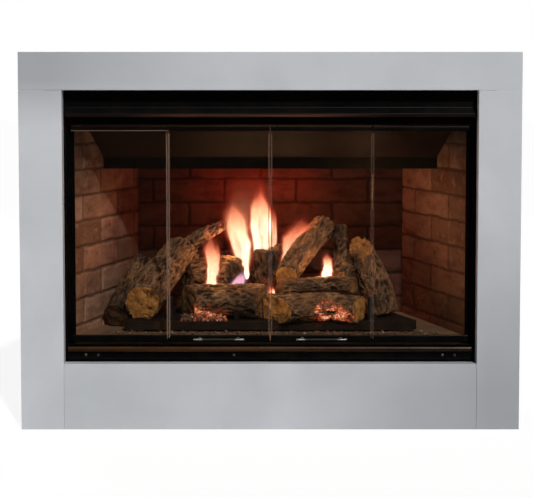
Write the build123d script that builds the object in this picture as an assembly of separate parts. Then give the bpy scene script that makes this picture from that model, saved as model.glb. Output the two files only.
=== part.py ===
from build123d import *
import math
import os

# Gas fireplace: slab surround, steel case, brick-lined firebox, bi-fold glass doors and log set.
# Millimetres. X runs to the viewer's right, Y runs back from the front face of the slabs, and
# Z runs up from the floor. The pieces are written with the origin under the middle.

# Clearances
seat = 0.3
hinge_fit = 0.05
door_gap = 1.0

# Slab surround
surround_width = 1280.0
surround_height = 969.0
leg_width = 110.0
header_height = 97.0
bottom_slab_height = 170.0
slab_thickness = 30.0
slab_edge = 1.0
opening_half = surround_width / 2 - leg_width
opening_top = surround_height - header_height

# Face frame
face_beyond_opening = 48.0
face_below_slab_top = 70.0
face_sheet = 2.0
face_reveal = 5.0
face_bottom_reveal = 1.0
face_top_reveal = 2.0
return_depth = 30.0
face_half = opening_half + face_beyond_opening
face_bottom = bottom_slab_height - face_below_slab_top
frame_half = opening_half - face_reveal
frame_bottom = bottom_slab_height + face_bottom_reveal
frame_top = opening_top - face_top_reveal
frame_back = slab_thickness + face_sheet + return_depth

# Steel case
overall_depth = 508.0
case_beyond_opening = 30.0
case_above_opening = 33.0
case_sheet = 1.6
case_straight_depth = 200.0
case_corner_inset = 120.0
case_front_flange = 22.0
base_flange = 20.0
standoff_height = 50.0
standoff_width = 60.0
standoff_foot = 22.0
standoff_from_side = 180.0
tab_width = 24.0
tab_height = 60.0
tab_leg = 30.0
tab_depth = 70.0
tab_above_slab = 80.0
tab_below_header = 122.0
nail_hole_radius = 2.5
nail_hole_from_side = 14.0
case_width = 2 * (opening_half + case_beyond_opening)
case_height = opening_top + case_above_opening
tab_z = (bottom_slab_height + tab_above_slab, opening_top - tab_below_header)

# Door sill, track and jambs
sill_above_frame = 45.0
sill_thickness = 3.0
sill_front = 34.0
track_below_frame = 89.0
track_wall = 2.0
track_slot = 10.0
track_height = 18.0
boss_radius = 7.0
boss_height = 10.0
bush_half_width = 9.0
jamb_sheet = 1.2
jamb_stop = 18.0
sill_top = frame_bottom + sill_above_frame
track_bottom = frame_top - track_below_frame
track_top = track_bottom + track_height

# Firebox
firebox_inset = 17.0
firebox_splay_in = 130.0
rear_air_space = 78.0
firebox_below_frame = 71.0
firebox_sheet = 1.2
brick_front_gap = 4.0
brick_board = 17.0
brick_relief = 5.0
brick_draft = 15.0
brick_length = 206.0
brick_course = 68.0
mortar_joint = 7.0
side_course_above_hearth = 22.5
back_course_below_hearth = 23.2
left_brick_shift = 60.0
right_brick_shift = 110.0
back_brick_shift = 28.0
brick_below_roof = 19.0
hearth_above_sill = 16.0
hearth_thickness = 15.0
hearth_front = 74.0
hearth_edge = 4.0
retainer_width = 20.0
support_from_side = 78.0
support_flange = 25.0
support_setback = 72.0
firebox_front_half = frame_half - firebox_inset
firebox_back = overall_depth - rear_air_space
firebox_top = frame_top - firebox_below_frame
shell_front = frame_back + firebox_sheet
brick_front = shell_front + brick_front_gap
brick_thickness = brick_board + brick_relief
brick_top = firebox_top - brick_below_roof
splay = firebox_splay_in / (firebox_back - brick_front)
splay_angle = math.degrees(math.atan(splay))
hearth_top = sill_top + hearth_above_sill
shell_floor = hearth_top - hearth_thickness - firebox_sheet

# Smoke baffle, as the depth of its bends and their drop below the firebox roof
baffle_start = (68.0, 8.0)
baffle_shoulder = (150.0, 40.0)
baffle_knee = (222.0, 108.0)
baffle_lip_drop = 140.0
baffle_bend = 6.0

# Flue
flue_radius = 76.5
flue_sheet = 1.2
flue_depth = 330.0
flue_above_case = 53.0
flue_flange = 26.0
flue_hole_step = 2.0
flue_bead = 3.0
flue_bead_above_case = 20.0
flue_plate_gap = 4.0
flue_top = case_height + flue_above_case
flue_bead_z = case_height + flue_bead_above_case

# Bi-fold doors
pivot_from_jamb = 16.0
guide_x = 19.0
hinge_line_depth = 53.0
rail_depth = 10.0
rail_to_hinge_line = 2.0
door_floor_gap = 3.0
bottom_rail_height = 18.0
door_head_gap = 2.0
top_rail_height = 12.0
rail_edge = 2.0
pane_thickness = 5.0
pane_in_rail = 8.0
pane_fit = 0.25
pane_edge = 0.6
panel_outer_overhang = 4.0
meeting_gap = 3.0
rail_end_gap = 4.0
knuckle_radius = 3.0
fold_pin_radius = 1.5
lug_radius = 5.0
pivot_pin_radius = 3.0
pivot_pin_reach = 14.0
thrust_collar_radius = 4.6
guide_pin_radius = 2.5
roller_radius = 4.4
roller_height = 10.0
roller_gap = 3.0
pivot_x = frame_half - pivot_from_jamb
fold_x = (pivot_x + guide_x) / 2
rail_back = hinge_line_depth - rail_to_hinge_line
rail_front = rail_back - rail_depth
pane_front = rail_front + (rail_depth - pane_thickness) / 2
bottom_rail_z = sill_top + door_floor_gap
top_rail_z = track_bottom - door_head_gap - top_rail_height
pane_bottom = bottom_rail_z + bottom_rail_height - pane_in_rail
pane_top = top_rail_z + pane_in_rail

# Bar pulls
pull_length = 132.0
pull_radius = 3.0
pull_standoff = 14.0
pull_post_spacing = 100.0
pull_post_radius = 2.5
pull_foot_radius = 4.5
pull_foot_length = 4.0

# Hood, as drops below the top of the face frame
hood_sheet = 1.6
hood_plane = 33.0
hood_break_drop = 42.0
hood_lip_depth = 19.0
hood_lip_top_drop = 58.0
hood_lip_bottom_drop = 67.0
hood_tail_depth = 30.0
hood_tail_above_track = 1.5
hood_bend = 4.0

# Control access door
access_plane = 36.0
access_sheet = 1.6
access_floor_gap = 3.5
access_bead_radius = 8.5
access_bead_gap = 2.0
access_hinge_depth = 39.5
access_hinge_up = 4.0
access_pin_radius = 2.5
access_pin_reach = 4.0
access_ear_sheet = 2.0
access_ear_height = 18.0
screw_from_jamb = (47.0, 79.0)
screw_left_of_middle = 94.0
screw_up = 11.5
screw_head_radius = 3.6
screw_head_height = 1.8
screw_radius = 1.9
screw_length = 6.0
access_bottom = frame_bottom + access_floor_gap
access_bead_z = sill_top - sill_thickness - access_bead_gap - access_bead_radius
access_hinge_z = access_bottom + access_hinge_up
screw_z = access_bottom + screw_up
screw_x = (
    -frame_half + screw_from_jamb[0], -frame_half + screw_from_jamb[1], -screw_left_of_middle,
    frame_half - screw_from_jamb[1], frame_half - screw_from_jamb[0],
)

# Burner
pan_front = 110.0
pan_back = 300.0
pan_from_wall = 98.1
pan_narrowing = 75.0
pan_above_hearth = 29.0
pan_skirt = 22.0
pan_sheet = 1.6
pan_corner = 14.0
pan_foot = 30.0
pan_foot_from_corner = 60.0
port_slot_length = 26.0
port_slot_width = 3.0
port_rows = (150.0, 250.0)
port_count = 9
port_pitch = 68.0
burner_port_radius = 1.5
burner_tube_radius = 9.0
burner_tube_wall = 1.2
burner_tube_depth = 200.0
burner_tube_above_hearth = 15.0
burner_tube_from_left = 95.0
burner_tube_from_right = 69.0
saddle_width = 12.0
saddle_depth = 20.0
saddle_from_left = 30.0
saddle_from_right = 60.0
riser_from_tube = 26.0
shutter_length = 16.0
shutter_wall = 1.0
air_slot_length = 10.0
air_slot_width = 7.0
air_slot_from_end = 3.0
pan_front_half = firebox_front_half - splay * (pan_front - brick_front) - pan_from_wall
pan_back_half = pan_front_half - pan_narrowing
pan_top = hearth_top + pan_above_hearth
burner_tube_left = burner_tube_from_left - pan_front_half
burner_tube_right = pan_front_half - burner_tube_from_right
burner_tube_z = hearth_top + burner_tube_above_hearth
riser_x = burner_tube_right + riser_from_tube

# Grate
bar = 12.0
bar_from_middle = (89.0, 265.0)
grate_front = 122.0
grate_back = 285.0
prong_above_pan = 64.0
prong_edge = 4.0
cross_bar_depths = (165.0, 265.0)
cross_bar_reach = 22.0
prong_top = pan_top + prong_above_pan

# Pilot
pilot_x = 62.0
pilot_depth = 224.0
pilot_foot_width = 28.0
pilot_foot_depth = 24.0
pilot_foot_sheet = 1.6
pilot_hood_radius = 5.0
pilot_hood_wall = 1.4
pilot_hood_height = 30.0
pilot_hood_floor = 6.0
pilot_window_width = 6.0
pilot_window_height = 10.0
probe_from_hood = 10.0
probe_radius = 3.0
probe_height = 38.0
probe_tip = 2.0
spark_radius = 1.6
spark_height = 34.0
spark_sleeve_radius = 3.4
spark_sleeve_height = 20.0

# Gas train
gas_pipe_radius = 5.0
bracket_depth = 84.0
bracket_sheet = 1.6
bracket_left = 170.0
bracket_right = 372.0
bracket_below_sill = 7.0
bracket_foot = 40.0
bracket_gusset = 88.0
knob_above_frame = 19.0
gas_knob_x = 262.0
flame_knob_x = 318.0
knob_radius = 13.0
knob_length = 15.0
knob_face_depth = 54.0
knob_edge = 2.0
knob_cap = 4.0
flute_count = 10
flute_radius = 2.4
flute_beyond_rim = 1.4
flute_stop = 4.0
rib_width = 3.2
rib_proud = 2.5
rib_from_rim = 2.5
rib_below_middle = 2.0
stem_radius = 3.0
stem_hole = 4.0
valve_width = 96.0
valve_length = 66.0
valve_height = 52.0
valve_above_knob = 16.0
valve_corner = 6.0
valve_port_below_knob = 15.2
regulator_radius = 16.0
regulator_drop = 24.0
regulator_edge = 3.0
valve_port_radius = 10.0
valve_port_length = 12.0
valve_outlet_length = 14.0
igniter_x = 206.0
igniter_radius = 8.0
igniter_length = 34.0
igniter_nose = 9.0
igniter_neck = 1.6
igniter_nut = 11.0
igniter_nut_height = 5.0
igniter_bore = 19.0
button_radius = 5.0
button_depth = 56.0
button_reach = 3.0
button_cap_radius = 7.0
button_cap_height = 6.0
button_dome = 2.0
inlet_radius = 10.3
inlet_hex = 30.0
inlet_length = 34.0
inlet_thread = 20.0
inlet_proud = 6.0
inlet_depth = 150.0
inlet_z = 110.0
supply_bend = 12.0
burner_pipe_bend = 10.0
orifice_radius = 3.5
orifice_reach = 6.0
bracket_back = bracket_depth + bracket_sheet
bracket_top = sill_top - bracket_below_sill
knob_z = frame_bottom + knob_above_frame
knob_back_depth = knob_face_depth + knob_length
inlet_corner = inlet_hex / 2 / math.cos(math.pi / 6)

# Refractory logs: start, end, start radius, end radius and grain phase. A place is x for a pan of
# the planned half width, depth, and height above the pan.
log_sides = 14
log_cuts = 7
log_knobbly = 0.07
log_gnarl = 0.05
log_bow = 0.035
log_pan_half = 395.0
log_plan = {
    "log_front_centre": ((-222, 152, 45), (-20, 150, 45), 43, 44, 0.4),
    "log_front_right": ((8, 118, 29), (242, 122, 30), 42, 38, 1.1),
    "log_front_left": ((-342, 132, 41), (-232, 245, 179), 48, 48, 2.0),
    "log_far_left": ((-414, 184, -7), (-346, 296, 139), 38, 34, 2.9),
    "log_rear_right": ((300, 200, 1), (245, 238, 184), 48, 36, 3.7),
    "log_thin": ((25, 144, 84), (226, 142, 91), 21, 22, 4.4),
    "log_middle_left": ((-235, 225, 105), (-92, 203, 113), 44, 45, 5.2),
    "log_rear_centre": ((-4, 290, 1), (-14, 250, 181), 46, 38, 0.9),
    "log_diagonal": ((40, 174, 105), (158, 285, 242), 32, 36, 1.7),
    "log_small_right": ((172, 180, 97), (213, 216, 141), 32, 30, 2.5),
}
log_branches = {
    "log_front_left": ((-255, 236, 167), (-124, 262, 244), 27, 14, 3.3),
    "log_rear_centre": ((26, 270, 1), (30, 262, 189), 20, 18, 4.1),
    "log_small_right": ((193, 238, 124), (190, 262, 242), 23, 19, 5.0),
}
# The way the sawn ends look, start then end, where they aren't square to the log.
log_sawn_ends = {
    "log_front_centre": ((-0.85, -0.52, 0.0), (0.88, -0.48, 0.0)),
    "log_front_right": ((-0.68, -0.73, 0.0), (0.85, -0.53, 0.0)),
    "log_front_left": ((-0.27, -0.92, -0.28), (0.52, 0.54, 0.66)),
    "log_far_left": ((-0.40, -0.85, -0.35), (0.35, 0.57, 0.74)),
    "log_rear_right": ((0.26, -0.20, -0.94), (-0.25, -0.55, 0.80)),
    "log_thin": ((-0.88, -0.47, 0.0), (0.88, -0.47, 0.0)),
    "log_middle_left": ((-0.90, -0.44, 0.0), (0.80, -0.60, 0.05)),
    "log_diagonal": ((-0.36, -0.90, -0.25), (0.56, 0.52, 0.65)),
    "log_small_right": ((-0.45, -0.80, -0.40), (0.40, 0.10, 0.90)),
}

# Embers
ember_front_count = 26
ember_pan_count = 11
ember_pan_left = -236.0
ember_pan_right = -118.0
ember_size = 9.0
ember_clear = 0.1
ember_from_wall = 60.0


def block(x0, x1, y0, y1, z0, z1):
    """A rectangular piece between two opposite corners."""
    low = (Align.MIN, Align.MIN, Align.MIN)
    return Pos(x0, y0, z0) * Box(x1 - x0, y1 - y0, z1 - z0, align=low)


def plan_prism(points, z0, z1):
    """An outline drawn in plan, raised from z0 to z1."""
    outline = Polygon(*points, align=None)
    return Pos(0, 0, z0) * extrude(outline, amount=z1 - z0, dir=(0, 0, 1))


def front_prism(points, y0, y1):
    """An outline of x and z, pushed back from y0 to y1."""
    outline = Plane.XZ * Polygon(*points, align=None)
    return Pos(0, y0, 0) * extrude(outline, amount=y1 - y0, dir=(0, 1, 0))


def bent_sheet(line, sheet, x0, x1, side=Side.LEFT):
    """Sheet metal whose bends are seen from the side, as a line of depth and height."""
    profile = make_face(offset(line, amount=sheet, side=side))
    return Pos(x0, 0, 0) * extrude(Plane.YZ * profile, amount=x1 - x0, dir=(1, 0, 0))


def upright(radius, x, y, z0, z1):
    """A vertical round piece."""
    low = (Align.CENTER, Align.CENTER, Align.MIN)
    return Pos(x, y, z0) * Cylinder(radius, z1 - z0, align=low)


def level_x(radius, x0, x1, y, z):
    """A round piece lying along X."""
    low = (Align.CENTER, Align.CENTER, Align.MIN)
    return Pos(x0, y, z) * Rot(0, 90, 0) * Cylinder(radius, x1 - x0, align=low)


def level_y(radius, x, y0, y1, z):
    """A round piece lying along Y."""
    low = (Align.CENTER, Align.CENTER, Align.MIN)
    return Pos(x, y0, z) * Rot(-90, 0, 0) * Cylinder(radius, y1 - y0, align=low)


def both_sides(piece):
    """A piece on the right and its mirror image on the left, as one group."""
    return Compound(children=[*piece.solids(), *mirror(piece, about=Plane.YZ).solids()])


def mirrored(distances):
    """Places on both sides of the middle."""
    return [side * distance for side in (-1, 1) for distance in distances]


def group(pieces):
    """Separate solids kept together in one node."""
    return Compound(children=[solid for piece in pieces for solid in piece.solids()])


def firebox_half_width(depth, grow=0.0):
    """Half the inside width between the brick faces, grown square to the splayed wall."""
    inside = firebox_front_half - (depth - brick_front) * splay
    return inside + grow / math.cos(math.radians(splay_angle))


def firebox_plan(front, back, grow):
    """The splayed plan of the firebox between two depths."""
    front_half = firebox_half_width(front, grow)
    back_half = firebox_half_width(back, grow)
    return [(-front_half, front), (front_half, front), (back_half, back), (-back_half, back)]


def case_plan(inset, front):
    """The plan of the case with its angled rear corners, drawn in by the sheet or a fit."""
    corner_angle = math.atan2(overall_depth - case_straight_depth, case_corner_inset)
    side = case_width / 2 - inset
    bend = case_straight_depth - inset * math.tan(math.pi / 4 - corner_angle / 2)
    back = overall_depth - inset
    run = (overall_depth - case_straight_depth) / case_corner_inset
    back_half = side - (back - bend) / run
    return [(-side, front), (side, front), (side, bend), (back_half, back), (-back_half, back), (-side, bend)]


# Slab surround
def slab(x0, x1, z0, z1):
    """A flat slab with its front edges just broken."""
    solid = block(x0, x1, 0, slab_thickness, z0, z1)
    front = solid.faces().sort_by(Axis.Y)[0]
    return chamfer(front.edges(), slab_edge)


def header_slab():
    return slab(-surround_width / 2, surround_width / 2, opening_top, surround_height)


def leg_slab(side):
    inner = opening_half * side
    outer = surround_width / 2 * side
    return slab(min(inner, outer), max(inner, outer), 0, opening_top - seat)


def bottom_slab():
    return slab(-opening_half + seat, opening_half - seat, 0, bottom_slab_height)


# Steel case
def casing_wrap():
    """The left, right and back sheets of the case, which meet at the rear corners."""
    front = slab_thickness + face_sheet
    wall = plan_prism(case_plan(0, front), 0, case_height)
    wall -= plan_prism(case_plan(case_sheet, front - 1), -1, case_height + 1)
    flange_x = case_width / 2 - case_front_flange
    flange = block(flange_x, case_width / 2 - case_sheet / 2, front, front + case_sheet, 0, case_height)
    hole = level_x(inlet_corner + seat, case_width / 2 - 10, case_width / 2 + 10, inlet_depth, inlet_z)
    wall = wall + flange + mirror(flange, about=Plane.YZ) - hole
    seam = overall_depth - case_sheet
    back = block(-case_width, case_width, seam, overall_depth + 1, -1, case_height + 1)
    sides = block(-case_width, case_width, front - 1, seam - seat, -1, case_height + 1)
    return group([wall & back, wall & sides])


def casing_base():
    inset = case_sheet + seat
    front = slab_thickness + face_sheet + case_sheet + seat
    tray = plan_prism(case_plan(inset, front), 0, base_flange)
    hollow = plan_prism(case_plan(inset + case_sheet, front + case_sheet), case_sheet, base_flange + 1)
    return tray - hollow


def casing_top():
    front = slab_thickness + face_sheet
    plate = plan_prism(case_plan(0, front), case_height, case_height + case_sheet)
    hole_radius = flue_radius + flue_sheet + flue_plate_gap
    plate -= upright(hole_radius, 0, flue_depth, case_height - 1, case_height + 10)
    pieces = [plate]
    for x in mirrored([case_width / 2 - standoff_from_side]):
        for depth in (front + standoff_foot, case_straight_depth):
            pieces.append(standoff(x, depth))
    return group(pieces)


def standoff(x, depth):
    """A Z bracket welded on the top plate, which holds framing off the case."""
    base = case_height + case_sheet
    top = base + standoff_height
    line = FilletPolyline(
        (depth - standoff_foot, base), (depth, base), (depth, top), (depth + standoff_foot, top), radius=3
    )
    return bent_sheet(line, case_sheet, x - standoff_width / 2, x + standoff_width / 2)


def flue_collar():
    """A round starter collar with its foot flange and a stop bead."""
    outer = flue_radius + flue_sheet
    foot = firebox_top + firebox_sheet
    profile = Polyline(
        (flue_radius, foot),
        (outer + flue_flange, foot),
        (outer + flue_flange, foot + flue_sheet),
        (outer, foot + flue_sheet),
        (outer, flue_bead_z - flue_bead),
        (outer + flue_bead, flue_bead_z),
        (outer, flue_bead_z + flue_bead),
        (outer, flue_top),
        (flue_radius, flue_top),
        close=True,
    )
    turned = revolve(Plane.XZ * make_face(profile), axis=Axis.Z)
    return Pos(0, flue_depth, 0) * turned


def nailing_tabs():
    tabs = []
    side = case_width / 2
    for z in tab_z:
        leg = block(side, side + case_sheet, tab_depth, tab_depth + tab_leg, z, z + tab_height)
        foot = block(side, side + tab_width, tab_depth, tab_depth + case_sheet, z, z + tab_height)
        hole_x = side + nail_hole_from_side
        hole = level_y(nail_hole_radius, hole_x, tab_depth - 1, tab_depth + 5, z + tab_height / 2)
        tabs.append(leg + foot - hole)
    return both_sides(group(tabs))


def face_frame():
    front = slab_thickness
    back = front + face_sheet
    plate = block(-face_half, face_half, front, back, face_bottom, case_height)
    tube = block(
        -frame_half - face_sheet, frame_half + face_sheet, front, frame_back,
        frame_bottom - face_sheet, frame_top + face_sheet,
    )
    mouth = block(-frame_half, frame_half, front - 1, frame_back + 1, frame_bottom, frame_top)
    pin_hole = level_x(
        access_pin_radius + hinge_fit, -frame_half - 5, frame_half + 5, access_hinge_depth, access_hinge_z
    )
    return plate + tube - mouth - pin_hole


# Firebox
def firebox_shell():
    """The welded sheets round the firebox: two flanged sides, the back, the floor and the roof."""
    clear = brick_thickness + seat
    outer = clear + firebox_sheet
    back = firebox_back + clear
    low = shell_floor + firebox_sheet
    wall = plan_prism(firebox_plan(shell_front, back, outer), low, firebox_top)
    wall -= plan_prism(firebox_plan(shell_front - 1, back + 1, clear), low - 1, firebox_top + 1)
    wall_x = firebox_half_width(shell_front, clear + firebox_sheet / 2)
    flange_x = case_width / 2 - case_sheet - seat
    flange = block(wall_x, flange_x, shell_front, shell_front + firebox_sheet, low, firebox_top)
    wall += flange + mirror(flange, about=Plane.YZ)
    rear = firebox_half_width(back, outer)
    sheet = block(-rear, rear, back, back + firebox_sheet, low, firebox_top)
    plan = firebox_plan(shell_front, back + firebox_sheet, outer)
    floor = plan_prism(plan, shell_floor, low)
    roof = plan_prism(plan, firebox_top, firebox_top + firebox_sheet)
    roof -= upright(flue_radius + flue_hole_step, 0, flue_depth, firebox_top - 1, firebox_top + 10)
    return group([wall, sheet, floor - gas_pipe_hole(), roof])


def gas_pipe_hole():
    """The clearance hole for the burner pipe through the firebox floor and the hearth."""
    return upright(gas_pipe_radius + 2, riser_x, burner_tube_depth, shell_floor - 5, hearth_top + 5)


def firebox_supports():
    """Two channels on the base that carry the firebox."""
    low = case_sheet
    high = shell_floor
    t = case_sheet
    f = support_flange
    outer = firebox_front_half - support_from_side
    inner = outer - f
    outline = [
        (inner, low), (outer, low), (outer, high), (inner, high),
        (inner, high - t), (outer - t, high - t), (outer - t, low + t), (inner, low + t),
    ]
    channel = front_prism(outline, shell_front + support_setback, firebox_back - support_setback)
    return both_sides(channel)


def brick_panel(width, height, first_course, shift):
    """A moulded panel: a board with drafted brick faces in running bond, facing -Y."""
    board = block(0, width, brick_relief, brick_relief + brick_board, 0, height)
    faces = []
    course = 0
    low = first_course
    while low > mortar_joint:
        low -= brick_course
        course -= 1
    while low < height:
        z0 = max(low + mortar_joint / 2, mortar_joint / 2)
        z1 = min(low + brick_course - mortar_joint / 2, height - mortar_joint / 2)
        if z1 - z0 > mortar_joint:
            faces += course_of_bricks(width, z0, z1, shift + (course % 2) * brick_length / 2)
        low += brick_course
        course += 1
    bricks = extrude(Sketch() + faces, amount=brick_relief, taper=brick_draft)
    return board + Pos(0, brick_relief, 0) * bricks


def course_of_bricks(width, z0, z1, shift):
    """The outlines of one course, cut off at both ends of the panel."""
    outlines = []
    start = shift % brick_length - brick_length
    while start < width:
        x0 = max(start + mortar_joint / 2, mortar_joint / 2)
        x1 = min(start + brick_length - mortar_joint / 2, width - mortar_joint / 2)
        if x1 - x0 > mortar_joint:
            centre = Pos((x0 + x1) / 2, (z0 + z1) / 2)
            outlines.append(Plane.XZ * centre * Rectangle(x1 - x0, z1 - z0))
        start += brick_length
    return outlines


def side_brick_panel(side, shift):
    base = shell_floor + firebox_sheet
    height = brick_top - base
    ends = brick_thickness * splay + 1
    length = (firebox_back - brick_front) / math.cos(math.radians(splay_angle)) + 2 * ends
    panel = brick_panel(length, height, hearth_top + side_course_above_hearth - base, shift)
    start_y = brick_front - ends * math.cos(math.radians(splay_angle))
    start_x = -firebox_half_width(start_y)
    placed = Pos(start_x, start_y, base) * Rot(0, 0, 90 - splay_angle) * panel
    keep = block(-case_width, 0, brick_front, firebox_back - seat, base, brick_top)
    placed = placed & keep
    return placed if side < 0 else mirror(placed, about=Plane.YZ)


def back_brick_panel():
    base = shell_floor + firebox_sheet
    half = firebox_half_width(firebox_back + brick_thickness, brick_thickness)
    first_course = hearth_top - back_course_below_hearth - base
    panel = brick_panel(2 * half, brick_top - base, first_course, half - back_brick_shift)
    return Pos(-half, firebox_back, base) * panel


def brick_retainers():
    """Strips that cover the front edges of the side panels, with a turned-in edge."""
    outer = frame_half + face_sheet + 2
    inner = outer - face_sheet - retainer_width
    z0 = shell_floor + firebox_sheet + seat
    plate = block(inner, outer, frame_back, shell_front, z0, brick_top)
    lip = block(inner, inner + firebox_sheet, frame_back, brick_front - seat, z0, brick_top)
    return both_sides(plate + lip)


def hearth_floor():
    base = shell_floor + firebox_sheet
    plan = firebox_plan(hearth_front, firebox_back - seat, -seat)
    board = plan_prism(plan, base, hearth_top)
    edge = board.faces().sort_by(Axis.Y)[0].edges().sort_by(Axis.Z)[-1]
    return chamfer(edge, hearth_edge) - gas_pipe_hole()


def smoke_baffle():
    lip = (baffle_knee[0], baffle_lip_drop)
    bends = (baffle_start, baffle_shoulder, baffle_knee, lip)
    line = FilletPolyline(*[(depth, firebox_top - drop) for depth, drop in bends], radius=baffle_bend)
    sheet = bent_sheet(line, firebox_sheet, -case_width / 2, case_width / 2)
    plan = firebox_plan(shell_front, firebox_back, -seat)
    return sheet & plan_prism(plan, hearth_top, firebox_top)


# Door surround
def hood():
    """The fascia under the header, curved forward to a rolled lip."""
    top = frame_top - seat
    line = FilletPolyline(
        (frame_back - seat, top),
        (hood_plane, top),
        (hood_plane, frame_top - hood_break_drop),
        (hood_lip_depth, frame_top - hood_lip_top_drop),
        (hood_lip_depth, frame_top - hood_lip_bottom_drop),
        (hood_tail_depth, track_top + hood_tail_above_track),
        radius=hood_bend,
    )
    return bent_sheet(line, hood_sheet, -frame_half + seat, frame_half - seat)


def head_track():
    """A channel open below for the guide rollers, with a bush block at each pivot."""
    half = frame_half - seat
    y0 = hinge_line_depth - track_slot / 2 - track_wall
    y1 = hinge_line_depth + track_slot / 2 + track_wall
    roof = track_top - track_wall
    channel = block(-half, half, y0, y1, track_bottom, track_top)
    channel -= block(-half - 1, half + 1, y0 + track_wall, y1 - track_wall, track_bottom - 1, roof)
    inset = track_wall / 2
    for x in mirrored([pivot_x]):
        x0 = x - bush_half_width
        x1 = x + bush_half_width
        channel += block(x0, x1, y0 + inset, y1 - inset, track_bottom, track_top - inset)
        channel -= upright(pivot_pin_radius + hinge_fit, x, hinge_line_depth, track_bottom - 1, roof)
    return channel


def door_sill():
    half = frame_half - seat
    plate = block(-half, half, sill_front, frame_back, sill_top - sill_thickness, sill_top)
    nose = plate.faces().sort_by(Axis.Y)[0].edges().filter_by(Axis.X)
    plate = fillet(nose, sill_thickness / 2 - 0.2)
    low = sill_top - sill_thickness - boss_height
    for x in mirrored([pivot_x]):
        plate += upright(boss_radius, x, hinge_line_depth, low, sill_top - sill_thickness / 2)
        plate -= upright(pivot_pin_radius + hinge_fit, x, hinge_line_depth, low - 1, sill_top + 1)
    return plate


def door_jambs():
    """Angle strips at the sides of the opening, with a stop behind the door's edge."""
    outer = frame_half - seat
    leg = outer - jamb_sheet
    stop = outer - jamb_stop
    y1 = frame_back
    y0 = y1 - jamb_sheet
    front = sill_front + 2
    plan = [(outer, front), (outer, y1), (stop, y1), (stop, y0), (leg, y0), (leg, front)]
    return both_sides(plan_prism(plan, sill_top + seat, track_bottom - seat))


# Bi-fold doors, modelled on the left and mirrored to the right
def rail(x0, x1, z, height):
    """A door rail with rounded long edges."""
    solid = block(x0, x1, rail_front, rail_back, z, z + height)
    long_edges = solid.edges().filter_by(Axis.X)
    return fillet(long_edges, rail_edge)


def pane_groove(groove_low, groove_high):
    """The groove along a rail that holds the pane."""
    y0 = pane_front - pane_fit
    y1 = pane_front + pane_thickness + pane_fit
    return block(-frame_half, 0, y0, y1, groove_low, groove_high)


def knuckles(x_from, rail_z, height, places):
    """Hinge knuckles on the fold line, each a third of the rail high."""
    third = height / 3
    solids = []
    for place in places:
        z0 = rail_z + place * third + seat / 2
        z1 = rail_z + (place + 1) * third - seat / 2
        knuckle = upright(knuckle_radius, -fold_x, hinge_line_depth, z0, z1)
        low, high = sorted((x_from, -fold_x))
        tongue = block(low, high, rail_back - 1, hinge_line_depth, z0, z1)
        joined = knuckle + tongue
        bore = upright(fold_pin_radius + hinge_fit, -fold_x, hinge_line_depth, z0 - 1, z1 + 1)
        solids.append(joined - bore)
    return solids


def lug(x, z0, z1):
    """A round lug behind a rail, on the hinge line."""
    barrel = upright(lug_radius, x, hinge_line_depth, z0, z1)
    web = block(x - lug_radius, x + lug_radius, rail_back - 1, hinge_line_depth, z0, z1)
    return barrel + web


def outer_rails():
    """The two rails of the outer panel, with the pivot lugs and their hinge knuckles."""
    x0 = -pivot_x - panel_outer_overhang
    x1 = -fold_x - rail_end_gap
    rails = []
    for z, height, low, high in rail_places():
        piece = rail(x0, x1, z, height) + lug(-pivot_x, z, z + height)
        for knuckle in knuckles(x1 - 2, z, height, (0, 2)):
            piece += knuckle
        piece -= upright(pivot_pin_radius, -pivot_x, hinge_line_depth, z - 1, z + height + 1)
        rails.append(piece - pane_groove(low, high))
    return group(rails)


def inner_rails():
    """The two rails of the inner panel; the upper one carries the guide pin and its roller."""
    x0 = -fold_x + rail_end_gap
    x1 = -meeting_gap / 2
    rails = []
    for z, height, low, high in rail_places():
        piece = rail(x0, x1, z, height)
        for knuckle in knuckles(x0 + 2, z, height, (1,)):
            piece += knuckle
        if z == top_rail_z:
            piece += lug(-guide_x, z, z + height)
            roller_z = track_bottom + roller_gap
            piece += upright(guide_pin_radius, -guide_x, hinge_line_depth, z + height - 1, roller_z + 1)
            piece += upright(roller_radius, -guide_x, hinge_line_depth, roller_z, roller_z + roller_height)
        rails.append(piece - pane_groove(low, high))
    return group(rails)


def rail_places():
    """Each rail's foot, height and the heights between which the pane's groove runs."""
    bottom_end = bottom_rail_z + bottom_rail_height
    return [
        (bottom_rail_z, bottom_rail_height, pane_bottom, bottom_end + 1),
        (top_rail_z, top_rail_height, top_rail_z - 1, pane_top),
    ]


def pane(x0, x1):
    """Toughened glass with ground edges."""
    y1 = pane_front + pane_thickness
    solid = block(x0, x1, pane_front, y1, pane_bottom + pane_fit, pane_top - pane_fit)
    return chamfer(solid.edges().filter_by(Axis.Z), pane_edge)


def outer_pane():
    return pane(-pivot_x - panel_outer_overhang, -fold_x - door_gap)


def inner_pane():
    return pane(-fold_x + door_gap, -meeting_gap / 2)


def door_pins():
    """Pivot pins with thrust collars at the jamb, and the pins of the fold hinges."""
    y = hinge_line_depth
    low = bottom_rail_z
    high = top_rail_z + top_rail_height
    bottom = upright(pivot_pin_radius - 0.02, -pivot_x, y, sill_top - boss_height, low + bottom_rail_height)
    bottom += upright(thrust_collar_radius, -pivot_x, y, sill_top + seat, low - seat)
    top = upright(pivot_pin_radius - 0.02, -pivot_x, y, top_rail_z, high + pivot_pin_reach)
    pins = [bottom, top]
    for z, height, _, _ in rail_places():
        shank = upright(fold_pin_radius, -fold_x, y, z - 0.5, z + height + 0.5)
        shank += upright(knuckle_radius - 0.5, -fold_x, y, z - 1.2, z + seat / 2 - 0.2)
        shank += upright(knuckle_radius - 0.5, -fold_x, y, z + height + 0.1, z + height + 1.2)
        pins.append(shank)
    return group(pins)


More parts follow.
